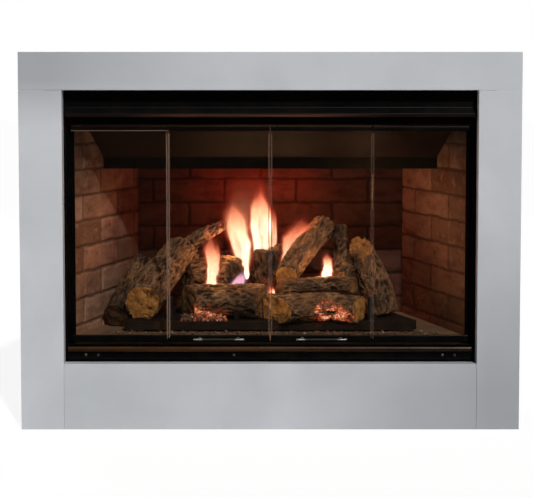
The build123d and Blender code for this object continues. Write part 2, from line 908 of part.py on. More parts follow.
def bar_pull():
    """A round bar on two posts, in the middle of the inner panel's bottom rail."""
    x = -(fold_x + meeting_gap / 2) / 2
    z = bottom_rail_z + bottom_rail_height / 2
    y = rail_front - pull_standoff
    handle = level_x(pull_radius, x - pull_length / 2, x + pull_length / 2, y, z)
    ends = handle.edges().filter_by(GeomType.CIRCLE)
    handle = fillet(ends, 1.2)
    for side in (-1, 1):
        post_x = x + side * pull_post_spacing / 2
        handle += level_y(pull_post_radius, post_x, y, rail_front, z)
        foot = Pos(post_x, rail_front, z) * Rot(90, 0, 0)
        low = (Align.CENTER, Align.CENTER, Align.MIN)
        handle += foot * Cone(pull_foot_radius, pull_post_radius, pull_foot_length, align=low)
    return handle


# Control access door
def access_door():
    """A narrow drop-down door with a rolled bead along its top and ears for its hinge pins."""
    half = frame_half - 2 * door_gap
    bead_low = (access_plane, access_bead_z - access_bead_radius)
    bead_high = (access_plane, access_bead_z + access_bead_radius)
    bead_nose = (access_plane - access_bead_radius, access_bead_z)
    line = Line((access_plane, access_bottom), bead_low) + ThreePointArc(bead_low, bead_nose, bead_high)
    face = bent_sheet(line, access_sheet, -half, half, Side.RIGHT)
    back = access_plane + access_sheet / 2
    ear_inner = half - access_ear_sheet
    ear_back = access_hinge_depth + access_pin_radius + 1
    ear = block(ear_inner, half, back, ear_back, access_bottom, access_bottom + access_ear_height)
    pin_end = frame_half + access_pin_reach
    ear += level_x(access_pin_radius, ear_inner, pin_end, access_hinge_depth, access_hinge_z)
    face += ear
    face += mirror(ear, about=Plane.YZ)
    for x in screw_x:
        face -= level_y(screw_radius, x, access_plane - 1, access_plane + 5, screw_z)
    return face


def access_door_screws():
    """Pan-head screws through the door's face."""
    screws = []
    for x in screw_x:
        shank = level_y(screw_radius, x, access_plane, access_plane + screw_length, screw_z)
        head = level_y(screw_head_radius, x, access_plane - screw_head_height, access_plane, screw_z)
        rim = head.faces().sort_by(Axis.Y)[0].edges()
        screws.append(shank + fillet(rim, 0.9))
    return group(screws)


# Burner
def pan_plan(inset):
    front_half = pan_front_half - inset
    back_half = pan_back_half - inset
    front = pan_front + inset
    back = pan_back - inset
    return [(-front_half, front), (front_half, front), (back_half, back), (-back_half, back)]


def pan_corners(inset):
    """The pan's plan with rounded corners."""
    outline = Polygon(*pan_plan(inset), align=None)
    return fillet(outline.vertices(), pan_corner - inset)


def burner_pan():
    """An inverted pan with rows of port slots, on four corner feet."""
    low = pan_top - pan_skirt
    pan = Pos(0, 0, low) * extrude(pan_corners(0), amount=pan_skirt)
    pan -= Pos(0, 0, low - 1) * extrude(pan_corners(pan_sheet), amount=pan_skirt - pan_sheet + 1)
    slots = []
    for depth in port_rows:
        for n in range(port_count):
            x = (n - (port_count - 1) / 2) * port_pitch
            slots.append(Pos(x, depth) * SlotOverall(port_slot_length, port_slot_width))
    pan -= Pos(0, 0, low) * extrude(Sketch() + slots, amount=pan_skirt + 1)
    for side in (-1, 1):
        for corner, depth in ((pan_front_half, pan_front), (pan_back_half, pan_back)):
            x = corner - pan_foot_from_corner
            inner = depth if depth == pan_front else depth - pan_sheet
            foot = block(x, x + pan_foot, inner, inner + pan_sheet, hearth_top, low + 2)
            pan += foot if side > 0 else mirror(foot, about=Plane.YZ)
    return pan - upright(gas_pipe_radius + 3, riser_x, burner_tube_depth, low - 1, low + 1)


def burner_tube():
    """A tube with a row of ports, closed at the left and open at its mixing end."""
    y = burner_tube_depth
    z = burner_tube_z
    inner = burner_tube_radius - burner_tube_wall
    tube = level_x(burner_tube_radius, burner_tube_left, burner_tube_right, y, z)
    tube -= level_x(inner, burner_tube_left + burner_tube_wall, burner_tube_right + 1, y, z)
    tube -= air_slots(burner_tube_radius)
    for n in range(port_count):
        x = (n - (port_count - 1) / 2) * port_pitch
        tube -= upright(burner_port_radius, x, y, z, z + burner_tube_radius + 1)
    for x in (burner_tube_left + saddle_from_left, 0, burner_tube_right - saddle_from_right):
        tube += saddle(x)
    return tube


def air_slots(radius):
    """The front and rear air openings, cut through a wall at the given radius."""
    x1 = burner_tube_right - air_slot_from_end
    slots = []
    for y in (burner_tube_depth - radius, burner_tube_depth + radius):
        low = burner_tube_z - air_slot_width / 2
        slots.append(block(x1 - air_slot_length, x1, y - 4, y + 4, low, low + air_slot_width))
    return group(slots)


def saddle(x):
    """A bent foot that carries the tube on the hearth."""
    y = burner_tube_depth
    z = burner_tube_z
    wide = saddle_width / 2
    deep = saddle_depth / 2
    foot = block(x - wide, x + wide, y - deep, y + deep, hearth_top, z - burner_tube_radius + 2)
    return foot - level_x(burner_tube_radius - burner_tube_wall / 2, x - 8, x + 8, y, z)


def air_shutter():
    """A slotted collar that turns on the mixing end to set the air."""
    inner = burner_tube_radius + hinge_fit
    outer = inner + shutter_wall
    x1 = burner_tube_right
    y = burner_tube_depth
    z = burner_tube_z
    collar = level_x(outer, x1 - shutter_length, x1, y, z)
    collar -= level_x(inner, x1 - shutter_length - 1, x1 + 1, y, z)
    return collar - air_slots(inner)


def pilot_assembly():
    """A bracket on the pan with the pilot hood, the spark rod and the thermocouple."""
    x = pilot_x
    y = pilot_depth
    z = pan_top
    half = pilot_foot_width / 2
    deep = pilot_foot_depth / 2
    foot = block(x - half, x + half, y - deep, y + deep, z, z + pilot_foot_sheet)
    low = z + pilot_foot_sheet / 2
    top = z + pilot_hood_height
    hood_tube = upright(pilot_hood_radius, x, y, low, top)
    hood_tube -= upright(pilot_hood_radius - pilot_hood_wall, x, y, z + pilot_hood_floor, top + 1)
    wide = pilot_window_width / 2
    hood_tube -= block(x - wide, x + wide, y - pilot_hood_radius - 1, y, top - pilot_window_height, top + 1)
    probe = upright(probe_radius, x - probe_from_hood, y, low, z + probe_height)
    probe = fillet(probe.edges().sort_by(Axis.Z)[-1], probe_tip)
    spark = upright(spark_radius, x + probe_from_hood, y, low, z + spark_height)
    spark += upright(spark_sleeve_radius, x + probe_from_hood, y, low, z + spark_sleeve_height)
    return foot + hood_tube + probe + spark


# Grate
def grate(extra=0.0):
    """Long bars with upturned front prongs, welded to cross bars that rest on the pan."""
    width = bar + 2 * extra
    half = width / 2
    low = pan_top - extra
    high = pan_top + bar + extra
    prong = prong_top + extra
    welded = None
    for x in mirrored(bar_from_middle):
        outline = [
            (grate_front - extra, low), (grate_back + extra, low), (grate_back + extra, high),
            (grate_front + bar + extra, high), (grate_front + bar + extra, prong - prong_edge),
            (grate_front + bar + extra - prong_edge, prong), (grate_front - extra + prong_edge, prong),
            (grate_front - extra, prong - prong_edge),
        ]
        profile = Plane.YZ * Polygon(*outline, align=None)
        long_bar = Pos(x - half, 0, 0) * extrude(profile, amount=width, dir=(1, 0, 0))
        welded = long_bar if welded is None else welded + long_bar
    reach = bar_from_middle[-1] + cross_bar_reach + extra
    for depth in cross_bar_depths:
        welded += block(-reach, reach, depth - half, depth + half, low, high)
    return welded


# Refractory logs
def log_section(centre, side, axis, looks, radius, phase, along):
    """One knobbly cross-section, with its points slid along the log so that it looks one way."""
    rise = axis.cross(side)
    points = []
    for n in range(log_sides):
        angle = 2 * math.pi * n / log_sides
        swell = math.sin(3 * angle + phase + 2 * along) + 0.6 * math.cos(5 * angle - 2 * phase + 3 * along)
        reach = radius * (1 + log_knobbly * swell)
        spoke = side * (reach * math.cos(angle)) + rise * (reach * math.sin(angle))
        points.append(centre + spoke - axis * (spoke.dot(looks) / axis.dot(looks)))
    return Face(Wire.make_polygon(points))


def log_place(place):
    """A place from the log plan, spread with the pan and set above it."""
    x, depth, above = place
    return Vector(x * pan_front_half / log_pan_half, depth, pan_top + above)


def log_body(start, end, start_radius, end_radius, phase, extra, sawn_ends=None):
    """A loft through knobbly sections along a slightly bowed axis, from sawn end to sawn end."""
    first = log_place(start)
    last = log_place(end)
    axis = (last - first).normalized()
    start_looks, end_looks = sawn_ends or (-axis, axis)
    first -= axis * extra
    last += axis * extra
    side = axis.cross(Vector(0, 0, 1)).normalized()
    bow = side.cross(axis) * (log_bow * (last - first).length)
    sections = []
    for n in range(log_cuts):
        along = n / (log_cuts - 1)
        centre = first + (last - first) * along + bow * math.sin(math.pi * along)
        radius = start_radius + (end_radius - start_radius) * along
        radius *= 1 + log_gnarl * math.sin(3 * phase + 7 * along)
        near_start = max(0, 1 - 2 * along)
        near_end = max(0, 2 * along - 1)
        looks = axis - (axis + Vector(*start_looks)) * near_start - (axis - Vector(*end_looks)) * near_end
        sections.append(log_section(centre, side, axis, looks, radius + extra, phase, along))
    return loft(sections, ruled=True)


def log_solid(name, extra=0.0):
    """A log with its branch, grown by extra where it is used to cut a seat."""
    body = log_body(*log_plan[name], extra, log_sawn_ends.get(name))
    if name in log_branches:
        body += log_body(*log_branches[name], extra)
    return body


def pan_seat():
    """The room the pan and hearth take, with the fit of the parts that stand on them."""
    pan = Pos(0, 0, hearth_top) * extrude(pan_corners(-seat), amount=pan_top + seat - hearth_top)
    floor = block(-case_width, case_width, 0, overall_depth, 0, hearth_top + seat)
    return pan + floor


def all_logs():
    """The log set, each log notched where it sits on the grate, the pan and the logs below it."""
    below = [pan_seat(), grate(seat)]
    logs = {}
    for name in log_plan:
        body = log_solid(name)
        for lower in below:
            body = body - lower
        # The notches shave off loose slivers, so only the log itself is kept.
        logs[name] = max(body.solids(), key=lambda solid: solid.volume)
        below.append(log_solid(name, seat))
    return logs


# Embers
def ember(x, y, z, n):
    """A broken lump with a flat foot and a smaller, turned top."""
    size = ember_size * (0.75 + 0.35 * math.sin(2.3 * n) ** 2)
    foot = Pos(x, y, z) * RegularPolygon(size / 2, 5)
    middle = Pos(x, y, z + size * 0.35) * Rot(0, 0, 25) * RegularPolygon(size * 0.6, 5)
    top = Pos(x + 0.8 * math.sin(n), y, z + size * 0.8) * Rot(0, 0, 40) * RegularPolygon(size * 0.3, 5)
    return loft([foot, middle, top], ruled=True)


def ember_bed():
    """Loose lumps on the hearth in front of the pan and on the pan's front edge."""
    lumps = []
    hearth_pitch = 2 * (firebox_half_width(pan_front) - ember_from_wall) / (ember_front_count - 1)
    for n in range(ember_front_count):
        x = (n - (ember_front_count - 1) / 2) * hearth_pitch + 5 * math.sin(5.1 * n)
        y = (hearth_front + pan_front) / 2 + 1 + 7 * math.sin(3.7 * n)
        lumps.append(ember(x, y, hearth_top + ember_clear, n))
    pan_pitch = (ember_pan_right - ember_pan_left) / (ember_pan_count - 1)
    for n in range(ember_pan_count):
        lumps.append(ember(ember_pan_left + n * pan_pitch, pan_front + 5, pan_top + ember_clear, n))
    return group(lumps)


# Gas train
def valve_bracket():
    """An upright plate on the base that carries the valve, its knobs and the igniter."""
    low = case_sheet
    foot_back = bracket_depth + bracket_foot
    foot = block(bracket_left, bracket_right, bracket_depth, foot_back, low, low + bracket_sheet)
    plate = block(bracket_left, bracket_right, bracket_depth, bracket_back, low, bracket_top)
    for x in (gas_knob_x, flame_knob_x):
        plate -= level_y(stem_radius + stem_hole, x, bracket_depth - 1, bracket_back + 1, knob_z)
    neck = igniter_radius - igniter_neck
    plate -= level_y(neck + hinge_fit, igniter_x, bracket_depth - 1, bracket_back + 1, knob_z)
    gusset = [(bracket_depth, low), (foot_back, low), (bracket_depth, low + bracket_gusset)]
    web = extrude(Plane.YZ * Polygon(*gusset, align=None), amount=bracket_sheet, dir=(1, 0, 0))
    for side in (bracket_left, bracket_right - bracket_sheet):
        plate += Pos(side, 0, 0) * web
    return foot + plate


def valve_inlet():
    """The mouth of the valve's supply port."""
    x = (gas_knob_x + flame_knob_x + valve_width) / 2 + valve_port_length
    return x, bracket_back + valve_length / 2, knob_z - valve_port_below_knob


def valve_outlet():
    """The mouth of the valve's burner port."""
    x = (gas_knob_x + flame_knob_x) / 2 - valve_width / 4
    y = bracket_back + valve_length + valve_outlet_length
    return x, y, knob_z - valve_port_below_knob


def gas_valve():
    """A cast valve body with its regulator tower, ports and two stems."""
    x = (gas_knob_x + flame_knob_x) / 2
    y0 = bracket_back
    z1 = knob_z + valve_above_knob
    z0 = z1 - valve_height
    body = block(x - valve_width / 2, x + valve_width / 2, y0, y0 + valve_length, z0, z1)
    body = fillet(body.edges().filter_by(Axis.Y), valve_corner)
    tower = upright(regulator_radius, x, y0 + valve_length / 2, z0 - regulator_drop, z0 + valve_corner)
    body += fillet(tower.faces().sort_by(Axis.Z)[0].edges(), regulator_edge)
    port_x, port_y, port_z = valve_inlet()
    body += level_x(valve_port_radius, x + valve_width / 2 - 1, port_x, port_y, port_z)
    port_x, port_y, port_z = valve_outlet()
    body += level_y(valve_port_radius, port_x, y0 + valve_length - 1, port_y, port_z)
    for stem_x in (gas_knob_x, flame_knob_x):
        body += level_y(stem_radius, stem_x, knob_face_depth + knob_cap, y0 + 1, knob_z)
    return body


def knob(x):
    """A round knob with finger flutes and a pointer rib, bored for its stem."""
    solid = level_y(knob_radius, x, knob_face_depth, knob_back_depth, knob_z)
    solid = fillet(solid.faces().sort_by(Axis.Y)[0].edges(), knob_edge)
    flute_circle = knob_radius + flute_beyond_rim
    for n in range(flute_count):
        angle = 2 * math.pi * (n + 0.5) / flute_count
        flute_x = x + flute_circle * math.cos(angle)
        flute_z = knob_z + flute_circle * math.sin(angle)
        solid -= level_y(flute_radius, flute_x, knob_face_depth - 1, knob_back_depth - flute_stop, flute_z)
    half = rib_width / 2
    rib_top = knob_z + knob_radius - rib_from_rim
    rib_front = knob_face_depth - rib_proud
    solid += block(x - half, x + half, rib_front, knob_face_depth + 1, knob_z - rib_below_middle, rib_top)
    bore_front = knob_face_depth + knob_cap - hinge_fit
    return solid - level_y(stem_radius + hinge_fit, x, bore_front, knob_back_depth + 1, knob_z)


def igniter_body():
    """A piezo igniter pushed through the bracket, with its nut and bore for the button."""
    x = igniter_x
    front = bracket_depth - igniter_nose
    body = level_y(igniter_radius - igniter_neck, x, front, bracket_back + igniter_length, knob_z)
    body += level_y(igniter_radius, x, bracket_back, bracket_back + igniter_length, knob_z)
    outline = Plane.XZ * Pos(x, knob_z) * RegularPolygon(igniter_nut, 6)
    nut = extrude(outline, amount=igniter_nut_height, dir=(0, 1, 0))
    body += Pos(0, bracket_depth - igniter_nut_height, 0) * nut
    return body - level_y(button_radius + hinge_fit, x, front - 1, front + igniter_bore, knob_z)


def igniter_button():
    """A push button with a domed cap that slides in the igniter."""
    x = igniter_x
    cap_back = button_depth + button_cap_height
    shank = level_y(button_radius, x, cap_back - 1, bracket_depth + button_reach, knob_z)
    cap = level_y(button_cap_radius, x, button_depth, cap_back, knob_z)
    cap = fillet(cap.faces().sort_by(Axis.Y)[0].edges(), button_dome)
    return shank + cap


def gas_inlet():
    """A hexagonal pipe coupling through the side of the case."""
    hexagon = Plane.YZ * Pos(inlet_depth, inlet_z) * RegularPolygon(inlet_hex / 2, 6, major_radius=False)
    x1 = case_width / 2 + inlet_proud
    coupling = Pos(x1 - inlet_length, 0, 0) * extrude(hexagon, amount=inlet_length, dir=(1, 0, 0))
    return coupling - level_x(inlet_radius, x1 - inlet_thread, x1 + 1, inlet_depth, inlet_z)


def pipe(points, bend):
    """A gas pipe of straight runs and tangent bends."""
    path = FilletPolyline(*points, radius=bend)
    start = Vector(*points[0])
    heading = (Vector(*points[1]) - start).normalized()
    return sweep(Plane(origin=start, z_dir=heading) * Circle(gas_pipe_radius), path=path)


def gas_lines():
    """The supply pipe into the valve, and the burner pipe up through the hearth to its orifice."""
    inlet_x = case_width / 2 + inlet_proud - inlet_length
    port_x, port_y, port_z = valve_inlet()
    bend_x = (port_x + inlet_x) / 2
    supply = pipe(
        [
            (port_x, port_y, port_z),
            (bend_x, port_y, port_z),
            (bend_x, inlet_depth, inlet_z),
            (inlet_x, inlet_depth, inlet_z),
        ],
        supply_bend,
    )
    port_x, port_y, port_z = valve_outlet()
    burner = pipe(
        [
            (port_x, port_y, port_z),
            (port_x, burner_tube_depth, port_z),
            (riser_x, burner_tube_depth, port_z),
            (riser_x, burner_tube_depth, burner_tube_z),
            (burner_tube_right + orifice_reach - 1, burner_tube_depth, burner_tube_z),
        ],
        burner_pipe_bend,
    )
    x0 = burner_tube_right - orifice_reach
    x1 = burner_tube_right + orifice_reach
    orifice = level_x(orifice_radius, x0, x1, burner_tube_depth, burner_tube_z)
    return group([supply, burner + orifice])


def save(name, shape):
    """Write one node, moved so that the origin lies under the middle of the fireplace."""
    export_step(Pos(0, -overall_depth / 2, 0) * shape, f"parts/{name}.step")


def main():
    os.makedirs("parts", exist_ok=True)
    pieces = {
        "header_slab": header_slab(),
        "left_leg_slab": leg_slab(-1),
        "right_leg_slab": leg_slab(1),
        "bottom_slab": bottom_slab(),
        "face_frame": face_frame(),
        "casing_wrap": casing_wrap(),
        "casing_base": casing_base(),
        "casing_top": casing_top(),
        "flue_collar": flue_collar(),
        "nailing_tabs": nailing_tabs(),
        "firebox_shell": firebox_shell(),
        "firebox_supports": firebox_supports(),
        "left_brick_panel": side_brick_panel(-1, left_brick_shift),
        "right_brick_panel": side_brick_panel(1, right_brick_shift),
        "back_brick_panel": back_brick_panel(),
        "brick_retainers": brick_retainers(),
        "hearth_floor": hearth_floor(),
        "smoke_baffle": smoke_baffle(),
        "hood": hood(),
        "head_track": head_track(),
        "door_sill": door_sill(),
        "door_jambs": door_jambs(),
        "access_door": access_door(),
        "access_door_screws": access_door_screws(),
        "burner_pan": burner_pan(),
        "burner_tube": burner_tube(),
        "air_shutter": air_shutter(),
        "pilot_assembly": pilot_assembly(),
        "grate": grate(),
        "ember_bed": ember_bed(),
        "valve_bracket": valve_bracket(),
        "gas_valve": gas_valve(),
        "gas_control_knob": knob(gas_knob_x),
        "flame_height_knob": knob(flame_knob_x),
        "igniter_body": igniter_body(),
        "igniter_button": igniter_button(),
        "gas_inlet": gas_inlet(),
        "gas_lines": gas_lines(),
    }
    pieces.update(all_logs())
    left_doors = {
        "outer_rails": outer_rails(),
        "outer_pane": outer_pane(),
        "inner_rails": inner_rails(),
        "inner_pane": inner_pane(),
        "door_pins": door_pins(),
        "bar_pull": bar_pull(),
    }
    for name, shape in left_doors.items():
        pieces[f"left_{name}"] = shape
        pieces[f"right_{name}"] = group([mirror(shape, about=Plane.YZ)])
    for name, shape in pieces.items():
        save(name, shape)


main()
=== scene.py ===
import math
import random

import bmesh
import bpy
import numpy as np
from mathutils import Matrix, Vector, noise


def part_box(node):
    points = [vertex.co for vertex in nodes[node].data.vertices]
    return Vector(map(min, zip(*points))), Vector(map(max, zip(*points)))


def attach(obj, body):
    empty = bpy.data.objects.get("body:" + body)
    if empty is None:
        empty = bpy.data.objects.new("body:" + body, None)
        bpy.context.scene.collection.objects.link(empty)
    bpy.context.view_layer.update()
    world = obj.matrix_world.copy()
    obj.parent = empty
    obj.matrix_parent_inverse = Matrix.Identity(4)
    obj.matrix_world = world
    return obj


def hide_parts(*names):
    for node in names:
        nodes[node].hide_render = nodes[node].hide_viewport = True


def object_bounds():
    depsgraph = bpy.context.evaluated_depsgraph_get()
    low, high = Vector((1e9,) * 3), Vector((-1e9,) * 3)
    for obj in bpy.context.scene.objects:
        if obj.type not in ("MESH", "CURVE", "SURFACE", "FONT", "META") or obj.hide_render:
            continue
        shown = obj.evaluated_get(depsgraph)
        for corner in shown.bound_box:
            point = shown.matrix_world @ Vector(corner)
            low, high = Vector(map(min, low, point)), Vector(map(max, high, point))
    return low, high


# Looks for the gas fireplace. Metres, in the CAD frame: X to the viewer's right, Y back, Z up.
# Depths are measured back from the front face of the slabs, which is the front of the whole part.
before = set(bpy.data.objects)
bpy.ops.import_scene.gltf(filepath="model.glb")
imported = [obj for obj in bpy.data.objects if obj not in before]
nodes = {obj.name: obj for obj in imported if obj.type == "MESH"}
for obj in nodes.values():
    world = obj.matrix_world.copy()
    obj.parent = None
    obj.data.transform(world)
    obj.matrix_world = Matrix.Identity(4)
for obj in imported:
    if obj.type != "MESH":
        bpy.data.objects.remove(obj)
cad_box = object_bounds()
slab_face = round(cad_box[0][1], 4)
# Heights in millimetres.
hearth_top = 232.0
pan_top = 261.0


def at(x, depth, z):
    """A point from millimetres across, millimetres behind the slab face and millimetres up."""
    return Vector((x / 1000, slab_face + depth / 1000, z / 1000))


# Materials
# The numbers of a mix node's sockets when it mixes colours.
mix_factor, mix_first, mix_second, mixed = 0, 6, 7, 2


def rgba(colour):
    """Four numbers for a colour socket. A link stays as it is."""
    return colour if isinstance(colour, bpy.types.NodeSocket) else (*colour, 1)


class Paint:
    """A material with one Principled shader and short calls for the nodes behind it."""

    def __init__(self, name):
        self.material = bpy.data.materials.new(name)
        self.material.use_nodes = True
        self.tree = self.material.node_tree
        self.tree.nodes.clear()
        output = self.tree.nodes.new("ShaderNodeOutputMaterial")
        self.shader = self.tree.nodes.new("ShaderNodeBsdfPrincipled")
        self.tree.links.new(self.shader.outputs[0], output.inputs["Surface"])
        self.place = self.tree.nodes.new("ShaderNodeTexCoord").outputs["Object"]

    def fill(self, socket, value):
        """Links the socket to another one, or sets its number or colour."""
        if isinstance(value, bpy.types.NodeSocket):
            self.tree.links.new(value, socket)
        else:
            socket.default_value = value

    def set(self, **values):
        """Sets the shader's sockets by name, with underscores for spaces."""
        for name, value in values.items():
            self.fill(self.shader.inputs[name.replace("_", " ")], value)

    def shine_by_itself(self, colour, strength):
        """Makes the surface glow. It isn't sampled as a lamp, which keeps the picture clean."""
        self.set(Emission_Color=colour, Emission_Strength=strength)
        self.material.cycles.emission_sampling = "NONE"

    def mapped(self, stretch):
        node = self.tree.nodes.new("ShaderNodeMapping")
        self.fill(node.inputs["Vector"], self.place)
        node.inputs["Scale"].default_value = stretch
        return node.outputs["Vector"]

    def noise(self, scale, detail=4.0, rough=0.55, stretch=(1, 1, 1), twist=0.0):
        node = self.tree.nodes.new("ShaderNodeTexNoise")
        self.fill(node.inputs["Vector"], self.mapped(stretch))
        self.fill(node.inputs["Scale"], scale)
        self.fill(node.inputs["Detail"], detail)
        self.fill(node.inputs["Roughness"], rough)
        self.fill(node.inputs["Distortion"], twist)
        return node.outputs["Fac"]

    def cells(self, scale, feature="F1", output="Distance", stretch=(1, 1, 1)):
        node = self.tree.nodes.new("ShaderNodeTexVoronoi")
        node.feature = feature
        self.fill(node.inputs["Vector"], self.mapped(stretch))
        self.fill(node.inputs["Scale"], scale)
        return node.outputs[output]

    def math(self, kind, a, b=0.0):
        node = self.tree.nodes.new("ShaderNodeMath")
        node.operation = kind
        self.fill(node.inputs[0], a)
        self.fill(node.inputs[1], b)
        return node.outputs[0]

    def times(self, a, b):
        return self.math("MULTIPLY", a, b)

    def plus(self, a, b):
        return self.math("ADD", a, b)

    def larger(self, a, b):
        return self.math("MAXIMUM", a, b)

    def span(self, value, low, high, to_low=0.0, to_high=1.0):
        """A clamped change of range."""
        node = self.tree.nodes.new("ShaderNodeMapRange")
        numbers = {"Value": value, "From Min": low, "From Max": high, "To Min": to_low, "To Max": to_high}
        for name, number in numbers.items():
            self.fill(node.inputs[name], number)
        return node.outputs[0]

    def mix(self, factor, a, b):
        node = self.tree.nodes.new("ShaderNodeMix")
        node.data_type = "RGBA"
        self.fill(node.inputs[mix_factor], factor)
        self.fill(node.inputs[mix_first], rgba(a))
        self.fill(node.inputs[mix_second], rgba(b))
        return node.outputs[mixed]

    def ramp(self, value, *stops):
        """Colours by value, from pairs of a position and a colour."""
        node = self.tree.nodes.new("ShaderNodeValToRGB")
        self.fill(node.inputs[0], value)
        elements = node.color_ramp.elements
        while len(elements) < len(stops):
            elements.new(0.5)
        for element, (position, colour) in zip(elements, stops):
            element.position = position
            element.color = rgba(colour)
        return node.outputs[0]

    def attribute(self, name, output="Fac"):
        node = self.tree.nodes.new("ShaderNodeAttribute")
        node.attribute_name = name
        return node.outputs[output]

    def axis(self, which):
        node = self.tree.nodes.new("ShaderNodeSeparateXYZ")
        self.fill(node.inputs[0], self.place)
        return node.outputs[which]

    def edges(self, radius):
        """1 along the edges of the shape and 0 on its flats."""
        bevel = self.tree.nodes.new("ShaderNodeBevel")
        bevel.samples = 4
        bevel.inputs["Radius"].default_value = radius
        plain = self.tree.nodes.new("ShaderNodeNewGeometry")
        dot = self.tree.nodes.new("ShaderNodeVectorMath")
        dot.operation = "DOT_PRODUCT"
        self.fill(dot.inputs[0], bevel.outputs[0])
        self.fill(dot.inputs[1], plain.outputs["Normal"])
        flat, turned = 0.995, 0.85
        return self.span(dot.outputs["Value"], flat, turned)

    def bump(self, height, distance, strength=1.0, under=None):
        node = self.tree.nodes.new("ShaderNodeBump")
        self.fill(node.inputs["Height"], height)
        node.inputs["Distance"].default_value = distance
        node.inputs["Strength"].default_value = strength
        if under is not None:
            self.fill(node.inputs["Normal"], under)
        return node.outputs[0]


def slab_stone(name, speck, light=(0.50, 0.515, 0.55), dark=(0.425, 0.44, 0.465)):
    """Honed light grey slab with faint cloudy mottling, fine specks, a painted highlight along its edges
    and painted shade in two corners.
    """
    p = Paint(name)
    cloud = p.noise(3.2, 5, 0.6, twist=0.6)
    colour = p.mix(p.span(cloud, 0.3, 0.72), dark, light)
    tint = p.noise(9, 3, 0.5)
    colour = p.mix(p.span(tint, 0.45, 0.75, 0.0, 0.35), colour, (0.47, 0.50, 0.49))
    veil = p.noise(5.5, 2, 0.5, stretch=(1, 1, 1.8))
    colour = p.mix(p.span(veil, 0.5, 0.8, 0.0, 0.3), colour, (0.50, 0.49, 0.54))
    dots = p.span(p.cells(420), 0.16, 0.05)
    some = p.span(p.noise(60, 2), 0.56, 0.62)
    colour = p.mix(p.times(p.times(dots, some), speck), colour, (0.22, 0.23, 0.24))
    # Painted highlight: lighter along the slab's edges, where the arrises catch the light.
    colour = p.mix(p.span(p.edges(0.0015), 0.0, 1.0, 0.0, 0.5), colour, (0.60, 0.61, 0.63))
    # Painted shade: darker low on the right and high on the left, where the room's light falls off.
    x, z = p.axis("X"), p.axis("Z")
    low_right = p.times(p.span(x, 0.05, 0.56), p.span(z, 0.62, 0.10))
    high_left = p.times(p.span(x, -0.10, -0.56), p.span(z, 0.78, 0.90, 0.0, 0.85))
    painted_shade = p.times(p.larger(low_right, high_left), 0.85)
    colour = p.mix(painted_shade, colour, (0.265, 0.277, 0.295))
    grain = p.bump(p.noise(700, 3, 0.6), 0.00006, 0.5)
    p.set(Base_Color=colour, Roughness=p.span(cloud, 0.3, 0.7, 0.42, 0.58), Normal=grain)
    p.set(Specular_IOR_Level=0.35)
    return p.material


def black_paint(name, dark=(0.0012, 0.0011, 0.001), dust=(0.004, 0.003, 0.002), rough=(0.34, 0.52),
                shine=0.05, tint=None, middle=0.0, reach=0.4, far=1.0):
    """High-temperature black paint with a fine orange peel, dust and rubbed edges.

    A tint is a band of painted highlight, the fire's light reflected along a lip or edge: its lowest and
    highest points and its colour. It is strongest about the middle, and fades to its far share at the
    reach.
    """
    p = Paint(name)
    film = p.noise(14, 5, 0.6)
    colour = p.mix(p.span(film, 0.48, 0.8), dark, dust)
    rubbed = p.times(p.edges(0.0012), p.span(p.noise(55, 4), 0.45, 0.62))
    colour = p.mix(p.times(rubbed, 0.4), colour, (0.035, 0.024, 0.017))
    if tint:
        # The band is painted light: a brown painted highlight in place of the fire's reflection on the lip
        # or edge.
        low, high, browned_and_painted_light = tint
        fade = 0.001
        z = p.axis("Z")
        band = p.times(p.span(z, low - fade, low), p.span(z, high + fade, high))
        streak = p.span(p.noise(3.5, 4, 0.6, stretch=(1, 1, 60)), 0.32, 0.62, 0.25, 1.0)
        aside = p.math("ABSOLUTE", p.math("SUBTRACT", p.axis("X"), middle))
        band = p.times(band, p.span(aside, reach, reach * 0.5, far, 1.0))
        colour = p.mix(p.times(band, streak), colour, browned_and_painted_light)
    p.set(Base_Color=colour, Roughness=p.span(film, 0.3, 0.75, *rough))
    p.set(Normal=p.bump(p.noise(900, 2, 0.5), 0.00008, 0.35), Specular_IOR_Level=shine)
    return p.material


def galvanised(name):
    """Zinc-coated sheet with spangle and faint rolling streaks."""
    p = Paint(name)
    spangle = p.cells(62, output="Color")
    tone = p.plus(p.times(spangle, 0.45), p.times(p.noise(6, 4), 0.55))
    dark, middle, light = (0.32, 0.335, 0.355), (0.50, 0.515, 0.53), (0.70, 0.715, 0.72)
    colour = p.ramp(tone, (0.2, dark), (0.5, middle), (0.8, light))
    dull = p.span(p.noise(11, 5, 0.65), 0.5, 0.75)
    colour = p.mix(p.times(dull, 0.4), colour, (0.42, 0.41, 0.39))
    p.set(Base_Color=colour, Metallic=0.55, Roughness=p.span(tone, 0.2, 0.9, 0.5, 0.34))
    streaks = p.noise(40, 3, 0.5, stretch=(1, 1, 0.06))
    p.set(Normal=p.bump(streaks, 0.0001, 0.4))
    return p.material


